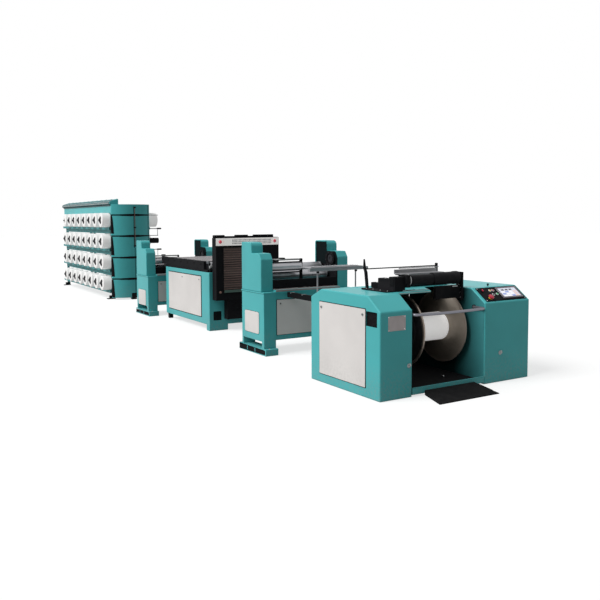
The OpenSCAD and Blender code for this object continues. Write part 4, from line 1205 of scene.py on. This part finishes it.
# %% Roller supports
bent_sheet("roller_supports", 0.002, "black_paint", 2, 0.006)
hub = [(0, 0.002), (0.022, 0.002), (0.026, -0.002), (0.026, -0.008), (0.044, -0.010),
       (0.058, -0.003), (0.0615, 0.0), (0, 0.0)]
for k in (1, 2):
    mid_y, half, wall, head, back, nose = stand_box(k)
    upper = sum(box(f"stand{k}_roller_upper"))[2] / 2
    c = np.array([nose - 0.204, mid_y + wall - 0.0125, upper + 0.069])
    rail = np.array([nose - 0.152, mid_y, upper + 0.0815])
    ring = [c + (x, -0.0178, z) for x, z in on_circle(0.082, 8, 0.2)]
    add_piece(f"stand{k}_bearing", of("motor_dark", lathe(hub, c, 1, 48))
              + screws("motor_dark", "-y", 0.006, ring)
              + of("black_plastic", pad(rail - 0.30 * Y, 0.070, 0.055, 0.026, "+z", 0.004, 0.003))
              + of("worn_steel", pad(rail - 0.245 * Y, 0.095, 0.38, 0.010, "+z", 0.004, 0.002))
              + screws("turned_steel", "+z", 0.006, [
                  rail + (0, -y, 0.0025) for y in (0.42, 0.22, 0.12)])
              + screws("black_plastic", "+x", 0.006, [
                  (nose - 0.0718, mid_y + y, head + 0.085)
                  for y in np.linspace(-wall + 0.05, wall - 0.05, 7)]))
print("bearing covers: 2")

# %% [markdown]
# The heater bench is a box of bent sheet with one cover. Two black rails carry the flat heater,
# with bolts along each rail. A guide rod in two blocks closes the rails' front end, and two hand
# knobs stand on the far rail.

# %% Heater bench
bench_lo, bench_hi = box("bench_cabinet")
print("bench bends:", bent_sheet("bench_cabinet", 0.010, "teal_paint", 3, 0.030, inside=(
    lambda c, n: c.z < 0.087 and c.x < bench_lo[0] + 0.1, "dark_band")))
bent_sheet("bench_rails", 0.005, "black_paint", 3, 0.006)
bent_sheet("bench_door", 0.0025, "cream_paint", 2, 0.003)
bent_sheet("hot_plate", 0.003, "heater_plate", 2, 0.005)
door_lo, door_hi = box("bench_door")
lock_z = door_hi[2] - 0.050
add_piece("bench_locks", ring_lock((door_lo[0] + 0.586, door_lo[1], lock_z), "-y", 0.013)
          + ring_lock((door_hi[0] - 0.062, door_lo[1], lock_z), "-y", 0.011),
          "bench_door")
bench_x, bench_y, bench_top = bench_hi[0], bench_lo[1], bench_hi[2]
bolt_x = bench_x - 1.60 + 0.262 * np.arange(6)
roll_a, roll_b = box("bench_roller")
roll_x, _, roll_z = (roll_a + roll_b) / 2
rod = [(bench_x - 0.040, y, bench_top + 0.079)
       for y in np.linspace(bench_y + 0.030, bench_hi[1] - 0.030, 5)]
hand_knob = [(0, 0), (0.024, 0), (0.024, 0.006), (0.012, 0.010), (0.012, 0.018), (0.034, 0.022),
             (0.036, 0.030), (0.030, 0.034), (0, 0.036)]
parts = of("black_plastic", *[
    in_row(screw((0, y, bench_top + 0.116), side, 0.010), bolt_x, X)
    for y, side in ((bench_y, "-y"), (bench_hi[1], "+y"))])
# The bench cover's dark edging is widened to 12 mm: painted shadow along the cover's edges, where
# it stands proud.
parts += of("dark_band", edging("bench_door", "-y", 0.012),
            pad((bench_x - 0.001, bench_y + 0.13, 0.222), 0.130, 0.135, 0.0022, "+x"))
parts += of("worn_steel", tube(rod, 0.022, 24))
for y in (bench_y + 0.044, bench_hi[1] - 0.044):
    parts += of("black_plastic",
                pad((bench_x - 0.040, y, bench_top), 0.050, 0.036, 0.062, "+z", 0.004, 0.002))
    parts += screws("turned_steel", "+z", 0.006, [(bench_x - 0.040, y, bench_top + 0.100)])
for y in (bench_y + 0.053, bench_hi[1] - 0.053):
    parts += of("cast_housing",
                pad((roll_x, y, bench_top + 0.036), 0.084, 0.025, 0.128, "+z", 0.004, 0.003))
    parts += screws("turned_steel", "+z", 0.005, [
        (roll_x + dx, y, bench_top + 0.164) for dx in (-0.025, 0.025)])
parts += of("black_plastic", *[
    lathe(hand_knob, (bench_x + x, bench_hi[1] - 0.033, bench_top + 0.160), 2, 32)
    for x in (-1.50, -1.30)])
add_piece("bench_fittings", parts)
print("bolts on each rail:", len(bolt_x))

# %% [markdown]
# The heater's face carries cross strips and fine lanes that keep the yarns apart; both are one
# long pad repeated. A chromed roller leads the yarns off it.

# %% Heater lanes and lead roller
plate_lo, plate_hi = box("hot_plate")
mid, size = (plate_lo + plate_hi) / 2, plate_hi - plate_lo
face_z = plate_hi[2] - 0.0004
strips = np.linspace(plate_lo[0] + 0.06, plate_hi[0] - 0.06, 8)
strip = pad((0, mid[1], face_z), 0.012, size[1] - 0.03, 0.0028, "+z", 0.003)
lanes = np.linspace(plate_lo[1] + 0.06, plate_hi[1] - 0.06, 30)
lane = pad((mid[0], 0, face_z), size[0] - 0.05, 0.0024, 0.0012, "+z", 0.0008, 0.0003)
add_piece("heater_lanes", of("turned_steel", in_row(strip, strips, X))
          + of("grey_plate", in_row(lane, lanes, Y)))
r, journal = 0.050, 0.0138
half = [(0, 0), (journal, 0), (journal, 0.014), (r - 0.010, 0.014), (r - 0.008, 0.018),
        (r - 0.004, 0.018), (r - 0.003, 0.014), (r, 0.018)]
lead = lathe(two_ended(half, roll_a[1], roll_b[1]), (roll_x, 0, roll_z), 1, 56)
stand_in("bench_roller", "bench_roller_chromed", of("draw_chrome", lead))
print("lanes on the heater:", len(lanes))

# %% [markdown]
# The sensor cabinet watches every yarn. It stands on the bench's end: a deep black frame round a
# curtain of brown slats, a pale strip of counters with a lamp at each end, and bars along its
# top.

# %% Sensor cabinet
bent_sheet("sensor_frame", 0.006, "black_paint", 3, 0.008)
# The counter strip wears the cream with a painted light glow.
bent_sheet("display_strip", 0.002, "lit_cream_painted_glow", 2, 0.004)
frame_lo, frame_hi = box("sensor_frame")
strip_lo, strip_hi = box("display_strip")
slat_lo, slat_hi = box("slat_curtain")
face_x, strip_x = frame_hi[0], bench_x + 0.142
mid, size = (slat_lo + slat_hi) / 2, slat_hi - slat_lo
window = pad((strip_x - 0.0004, 0, 0), 0.011, 0.018, 0.0016, "+x", 0.002, 0.0005)
digits = [(0, y, z) for z in (1.300, 1.326, 1.352) for y in np.arange(-0.235, 0.41, 0.0215)]
lens_profile = [(0, 0.0), (0.026, 0.0), (0.026, 0.005), (0.022, 0.008), (0.022, 0.014),
                (0.018, 0.020), (0.010, 0.0235), (0, 0.0245)]
drain = [(0, -0.001), (0.018, -0.001), (0.018, 0.010), (0.012, 0.016), (0.012, 0.026),
         (0.008, 0.030), (0, 0.030)]
parts = of("screen_dark", repeated(window, digits))
for y, toward in ((-0.440, 0.052), (0.480, -0.052)):
    parts += of("lamp_red", lathe(lens_profile, (strip_x, y, 1.328), 0, 36))
    parts += of("screen_rose", pad((strip_x - 0.0004, y + toward, 1.330), 0.020, 0.012, 0.004,
                                   "+x", 0.003))
parts += screws("turned_steel", "+x", 0.004, [
    (strip_x - 0.001, y, z) for y in (strip_lo[1] + 0.012, strip_hi[1] - 0.012)
    for z in (1.284, 1.370)])
parts += of("tray_lining", pad((face_x - 0.001, mid[1], 0.594), size[1] - 0.01, 0.036, 0.020,
                               "+x", 0.004, 0.003))
parts += of("louvre_dark",
            pad((face_x - 0.001, mid[1], 0.568), size[1] - 0.01, 0.008, 0.012, "+x", 0.003),
            *[pad((bench_x + 0.1155, -0.035, 0.30 + 0.028 * i), 0.40, 0.010, 0.003, "+x",
                  0.004, 0.002) for i in range(5)])
parts += of("copper_tone", lathe(drain, (face_x, -0.443, 0.585), 0, 28))
parts += of("black_plastic", border((face_x - 0.001, mid[1], mid[2]), size[1] + 0.060,
                                    size[2] + 0.060, 0.018, 0.004, "+x", 0.008))
parts += screws("black_plastic", "+x", 0.006, [
    (face_x, y, z) for y in (frame_lo[1] + 0.025, frame_hi[1] - 0.025) for z in (0.50, 0.80, 1.10)])
add_piece("sensor_fittings", parts)
rods_z = np.linspace(slat_lo[2] + 0.022, slat_hi[2] - 0.022, 19)
across = np.linspace(slat_lo[1] + 0.006, slat_hi[1] - 0.006, 4)
rod = tube([(slat_hi[0] + 0.002, y, 0) for y in across], 0.0042, 10)
add_piece("sensor_rods", of("slat_edge", in_row(rod, rods_z, Z)))
print("light rods across the slats:", len(rods_z))

# %% [markdown]
# The creel's front is closed by covers that bulge forward in a circle's arc: chord w and rise b
# give the radius (w^2 / 4 + b^2) / 2b. Between them run dark gaps, wider in the middle, where
# yarns leave. A rod down the middle latches them.

# %% Creel covers
creel_lo, creel_hi = box("creel_frame")
creel_x, creel_y = creel_hi[0] + 0.060, creel_lo[1] + 0.036
width = creel_hi[1] - 0.036 - creel_y
bulge = high("creel_covers")[0] - creel_x
arc = (width**2 / 4 + bulge**2) / (2 * bulge)


def nose_x(y):
    """How far the covers stand out at y across the creel."""
    return bulge - arc + np.sqrt(arc**2 - (y - width / 2) ** 2)


def closed_strip(corners):
    """Skin over four rows of points that run side by side, closed at both ends."""
    rows = np.stack(corners, 1)
    ends = rows.mean(1, keepdims=True).repeat(4, 1)
    rows = np.concatenate([ends[:1], rows, ends[-1:]])
    return rows.reshape(-1, 3), grid_faces(len(rows), 4)


def belt(y, back, front, below, above):
    """Closed strip along Y: at each y a rectangle between two X and two Z."""
    return closed_strip([np.stack([creel_x + x, creel_y + y, z + 0 * y], -1) for x, z in (
        (back, below), (front, below), (front, above), (back, above))])


# The creel frame's parts below 1.8 m wear painted shade.
print("creel bends:", bent_sheet("creel_covers", 0.005, "teal_paint", 2, 0.012), bent_sheet(
    "creel_frame", 0.003, "teal_paint", 2, 0.030, (lambda c, n: c.z < 1.80, "frame_painted_shade"), 10))
seams = (0.433, 0.879, 1.326, 1.762)
parts = []
for z in seams:
    y = np.linspace(0.004, width - 0.004, 25)
    parts += of("louvre_dark",
                belt(y, nose_x(y) - 0.030, nose_x(y) - 0.004, z - 0.0128, z + 0.0128))
    y = np.linspace(0.16, 0.84, 21) * width
    tall = 0.0125 + 0.011 * np.sin((y / width - 0.16) / 0.68 * math.pi)
    parts += of("louvre_dark", belt(y, nose_x(y) - 0.002, nose_x(y) + 0.0014, z - tall, z + tall))
middle, tip = creel_y + width / 2, creel_x + bulge
rod_y = middle + 0.035
rod = tube([(tip + 0.011, rod_y, z) for z in np.linspace(1.10, 1.925, 8)], 0.0062, 16)
panels = ((0.05, 0.42), (0.446, 0.866), (0.892, 1.08))
parts += of("copper_tone", rod)
parts += of("black_plastic", *[
    pad((tip - 0.004, rod_y, z), 0.050, 0.022, 0.026, "+x", 0.004, 0.002)
    for z in (1.12, 1.50, 1.92)])
parts += of("dark_band", pad((tip - 0.0025, rod_y - 0.016, 1.51), 0.013, 0.86, 0.003, "+x"), *[
    pad((tip - 0.0025, rod_y, (a + b) / 2), 0.010, b - a - 0.02, 0.0026, "+x", 0.003)
    for a, b in panels])
edge_y = width - 0.040
turned_out = np.array([arc - bulge + nose_x(edge_y), edge_y - width / 2, 0]) / arc
edge_side = (np.array([-turned_out[1], turned_out[0], 0]), Z, turned_out)
panels = ((0.05, 0.42), (0.446, 0.866), (0.892, 1.313), (1.339, 1.749), (1.775, 1.98))
parts += of("dark_band", *[
    pad((creel_x + nose_x(edge_y), creel_y + edge_y, (a + b) / 2), 0.016, b - a - 0.02, 0.002,
        edge_side, 0.003) for a, b in panels])
add_piece("cover_gaps", parts)
print("bulge", round(bulge, 3), "m, radius", round(arc, 3), "m")

# %% [markdown]
# Over the packages runs a canopy. Its eave has a row of vents, its roof standing seams with
# shallow panels between them. Each is one small pad, laid on the slope and repeated along X.

# %% Canopy
rear = low("creel_covers")[0]
run, eave_mid, roof_mid = creel_x - rear, (rear + creel_x - 0.015) / 2, (rear + creel_x) / 2
eave_x = np.arange(rear + 0.08, creel_x - 0.06, 0.094)
ridge_x = np.linspace(rear + 0.05, creel_x - 0.08, 12)
slope = np.array([0, 0.166, 0.051]) / math.hypot(0.166, 0.051)
roof_side = (X, slope, np.array([0, -slope[2], slope[1]]))
tilt = (X, 0.8 * Y + 0.6 * Z, 0.8 * Z - 0.6 * Y)
seam_at = (0, creel_y + 0.077, 2.0745)
seam = pad(seam_at, 0.010, 0.168, 0.006, roof_side, 0.003, 0.002)
roof_panel = pad(seam_at, 0.26, 0.090, 0.0022, roof_side, 0.010)
vent = pad((0, creel_y - 0.0310, 2.010), 0.046, 0.013, 0.0014, "-y", 0.005)
dot = pad((0, creel_y - 0.0188, 2.0412), 0.030, 0.012, 0.0012, tilt)
add_piece("canopy_details",
          of("grey_teal",
             pad((eave_mid, creel_y + 0.024, 2.0585), run - 0.030, 0.055, 0.0016, roof_side, 0.003),
             pad((eave_mid, creel_y - 0.018, 2.0402), run - 0.030, 0.026, 0.0014, tilt, 0.003),
             pad((eave_mid, creel_y - 0.0298, 2.008), run - 0.027, 0.044, 0.0016, "-y", 0.003),
             pad((roof_mid, creel_y - 0.0005, 1.967), run - 0.13, 0.034, 0.010, "-y", 0.002),
             in_row(roof_panel, ridge_x[:-1] + 0.17, X))
          + of("cream_paint", in_row(dot, eave_x + 0.047, X), in_row(vent, eave_x, X))
          + of("teal_paint", in_row(seam, ridge_x, X))
          + of("dark_band",
               pad((roof_mid, creel_y - 0.012, 1.984), run - 0.02, 0.030, 0.003, "-y", 0.002)))
print("vents:", len(eave_x), "seams:", len(ridge_x))

# %% [markdown]
# Eight columns, four tiers, two sides. A package is one closed lathe profile: bore, tube rim,
# flat end with a round shoulder, and a body that swells by a millimetre. The near side's shape is
# mirrored for the far side, where the first column is empty except at the top.

# %% Yarn packages
tiers = (0.340, 0.776, 1.213, 1.659)
columns = creel_x - 0.238 - 0.437 * np.arange(8)
far_y = creel_y + width
near = [(x, creel_y, z) for x in columns for z in tiers]
far = [(x, far_y + 0.060, z) for x in columns for z in tiers if x < columns[0] or z == tiers[-1]]
y0, y1, big, bore = -0.164, 0.026, 0.150, 0.0552
shoulder = [(big - 0.012 + 0.012 * math.sin(a), y0 + 0.013 - 0.012 * math.cos(a))
            for a in np.linspace(0, math.pi / 2, 5)]
body = [(big - 0.0006 * (k % 2), y) for k, y in enumerate(np.linspace(y0 + 0.022, y1 - 0.022, 8))]
package = [(bore, y0 - 0.003), (0.0605, y0 - 0.004), (0.0620, y0 + 0.001), (0.100, y0 + 0.0024),
           *shoulder, *body, *[(r, y0 + y1 - y) for r, y in shoulder[::-1]],
           (0.062, y1 - 0.002), (0.0605, y1), (bore, y1), (bore, y0 - 0.003)]


def both_banks(profile, segments, near=near):
    """The lathe shape at every full place, mirrored in Y for the far side."""
    return [repeated(lathe([(r, out * y) for r, y in profile], (0, 0, 0), 1, segments), bank)
            for bank, out in ((near, 1), (far, -1))]


stand_in("yarn_packages", "packages", of("white_yarn", *both_banks(package, 36)), 40)
print("packages:", len(near), "+", len(far))

# %% [markdown]
# A package sits on a card tube. Its bore is closed by a hub: a dark three-lobed plate, drawn from
# the radius 71 - 15 cos 3a in millimetres, and a pale pin. Three places of the far side's first
# column hold empty tubes.

# %% Hubs and empty tubes
plug = [(0, y0 + 0.016), (0.0545, y0 + 0.016), (0.0545, y0), (0.052, y0 - 0.0015), (0, y0 - 0.0015)]
pin = [(0, -0.004), (0.056, -0.006), (0.054, -0.011), (0.031, -0.022), (0.019, -0.034),
       (0.013, -0.038), (0, -0.039)]
angles = np.linspace(0, 2 * math.pi, 24, endpoint=False)
lobes = 0.071 - 0.015 * np.cos(3 * angles)
lobes = lobes[:, None] * np.stack([np.cos(angles), np.sin(angles)], -1)
star = [(0, lobes * 0), (0, lobes), (0.0060, lobes * 0.97), (0.0080, lobes * 0.90),
        (0.0080, lobes * 0)]
parts = of("tube_card", *both_banks(plug, 24))
parts += of("louvre_dark", *[repeated(carried(star, side, out * (y0 - 0.0020) * Y), bank)
                             for side, bank, out in (("-y", near[:-1], 1), ("+y", far, -1))])
parts += of("peg_plastic", *both_banks([(r, y0 + y) for r, y in pin], 18, near[:-1]))
add_piece("package_hubs", parts)
tube_wall = two_ended([(0.0550, 0), (0.0585, 0), (0.0590, 0.004)], 0.004, 0.218) + [(0.0550, 0.004)]
add_piece("empty_tubes", of("black_plastic", *[
    lathe(tube_wall, (columns[0], far_y + 0.060, z), 1, 40) for z in tiers[:3]]))
print("empty tubes: 3")

# %% [markdown]
# Small parts finish the creel: painted shadow where the covers meet the first package, as dark
# wedges that widen downward in each tier and dark pads on the covers' side, foot plates, and rods
# that carry the yarn out at the far front corner.

# %% Painted shadow at the creel covers, feet and rods
parts = []
# Each tier gets a dark wedge on the cover's nose and a dark pad on its side: painted shadow between
# the first package and the cover, widening downward.
for below, above in zip((0.0, *seams), seams):
    z = np.linspace(below + 0.050, above - 0.014, 12)
    wide = 0.006 + 0.036 * np.sqrt((above - z) / (above - below))
    back, out, near_y = nose_x(0 * z) - 0.004, nose_x(wide) + 0.0015, 0 * z - 0.0012
    parts += of("louvre_dark",
                closed_strip([np.stack([creel_x + x, creel_y + y, z], -1) for x, y in (
                    (back, near_y), (out - 0.004, wide), (out, wide), (back + 0.004, near_y))]),
                pad((creel_x - 0.031, creel_y + 0.0003, (below + above) / 2 + 0.018), 0.056,
                    above - below - 0.068, 0.0015, "-y", 0.003, 0.0004))
for x in (creel_lo[0] + 0.025, creel_x - 0.190):
    for y, out in ((creel_y + 0.065, -0.042), (far_y - 0.065, 0.042)):
        parts += of("black_paint", pad((x, y + out, 0.0), 0.090, 0.170, 0.014, "+z", 0.008, 0.002))
        parts += of("dark_band",
                    pad((x, y + out / 2, 0.012), 0.066, 0.110, 0.060, "+z", 0.004, 0.003))
        parts += screws("turned_steel", "+z", 0.006, [(x + dx, y, 0.014) for dx in (-0.036, 0.036)])
parts += of("black_paint",
            pad((tip - 0.010, middle, 0.068), 0.104, 0.136, 0.014, "+x", 0.010, 0.003))
seam_rods = [(creel_x - 0.020, far_y - 0.004, far_y + 0.200, z, 0.0085, 12) for z in seams]
tier_rods = [(creel_x - 0.085, far_y - 0.030, far_y + 0.215, z - 0.186, 0.0105, 14) for z in tiers]
rods = [bar((x, y0, z), (x, y1, z), r, n) for x, y0, y1, z, r, n in seam_rods + tier_rods]
rods += [bar(*[(creel_x - 0.052, far_y + 0.200, z - drop) for drop in (0.332, 0.190)], 0.0065, 10)
         for z in tiers[1:]]
grips = [tube([(creel_x - 0.085, far_y + y, z - 0.186) for y in (0.200, 0.225, 0.275, 0.292)],
              0.0165, 18) for z in tiers]
parts += of("worn_steel", *rods) + of("black_plastic", *grips)
add_piece("creel_fittings", parts)
print("creel parts:", len(parts))

# %% [markdown]
# The stage: an even white sky. Camera and mirrors see it at full white, while it lights the line
# only weakly, so a node tells the two kinds of ray apart.

# %% Sky
scene = bpy.context.scene
scene.view_settings.view_transform = "Standard"


def seen_ray(tree):
    """1 for camera, glossy and transmission rays, 0 for the rest: the largest of the three."""
    path = tree.nodes.new("ShaderNodeLightPath")
    seen = path.outputs["Is Camera Ray"]
    for ray in ("Is Glossy Ray", "Is Transmission Ray"):
        larger = tree.nodes.new("ShaderNodeMath")
        larger.operation = "MAXIMUM"
        tree.links.new(seen, larger.inputs[0])
        tree.links.new(path.outputs[ray], larger.inputs[1])
        seen = larger.outputs[0]
    return seen


world = bpy.data.worlds.new("white sky")
scene.world = world
world.use_nodes = True
sky = world.node_tree
lighting, sky_strength, white = sky.nodes["Background"], 0.27, (1, 1, 1, 1)
lighting.inputs["Strength"].default_value = sky_strength
shown = sky.nodes.new("ShaderNodeBackground")
choice = sky.nodes.new("ShaderNodeMixShader")
sky.links.new(seen_ray(sky), choice.inputs[0])
for socket, background in ((1, lighting), (2, shown)):
    background.inputs["Color"].default_value = white
    sky.links.new(background.outputs[0], choice.inputs[socket])
sky.links.new(choice.outputs[0], sky.nodes["World Output"].inputs["Surface"])

print("sky strength", sky_strength)

# %% [markdown]
# A pale floor keeps the shadows, and one broad sun stands high on the operator's side. A
# cabinet's long sides then show their colour as it is, its ends half as bright, as they do under
# a shop's roof lights.

# %% Floor and sun
span, glow = 60.0, 0.69
corners = [(x * span, y * span, 0) for x, y in ((-1, -1), (1, -1), (1, 1), (-1, 1))]
floor_mesh = bpy.data.meshes.new("floor")
floor_mesh.from_pydata(corners, [], [(0, 1, 2, 3)])
floor = bpy.data.objects.new("floor", floor_mesh)
scene.collection.objects.link(floor)
pale = bpy.data.materials.new("pale floor")
pale.use_nodes = True
ground = pale.node_tree
skin = ground.nodes["Principled BSDF"].inputs
for socket, value in (("Base Color", (0.35, 0.35, 0.35, 1)), ("Roughness", 0.9),
                      ("Specular IOR Level", 0.1), ("Emission Color", white)):
    skin[socket].default_value = value
lift = ground.nodes.new("ShaderNodeMath")
lift.operation = "MULTIPLY"
lift.inputs[1].default_value = glow
ground.links.new(seen_ray(ground), lift.inputs[0])
ground.links.new(lift.outputs[0], skin["Emission Strength"])
floor_mesh.materials.append(pale)

sun = bpy.data.lights.new("roof lights", "SUN")
sun.energy = 2.9
sun.angle = math.radians(35)
lamp = bpy.data.objects.new("roof lights", sun)
lamp.rotation_mode = "QUATERNION"
lamp.rotation_quaternion = Vector((-0.07, -0.69, 0.72)).to_track_quat("Z", "Y")
scene.collection.objects.link(lamp)
print("sun", sun.energy, "spread over", round(math.degrees(sun.angle)), "degrees")

# %% [markdown]
# The camera stands at eye height by the winder's front corner and looks back along the line, so
# the creel, nearly fourteen metres away, is small. A slight sideways and downward shift frames
# the line without tilting its uprights.

# %% Camera
lens = bpy.data.cameras.new("camera")
lens.lens, lens.sensor_width = 41.96, 36.0
lens.shift_x, lens.shift_y = 0.0235, -0.058
lens.clip_end = 200.0
camera = bpy.data.objects.new("camera", lens)
camera.location = (11.466, -4.879, 1.649)
camera.rotation_euler = [math.radians(a) for a in (90 - 3.72, 0.27, 59.08)]
scene.collection.objects.link(camera)
scene.camera = camera
print("camera", round((camera.location - Vector((front, 0, 0.5))).length, 2), "m from the winder")
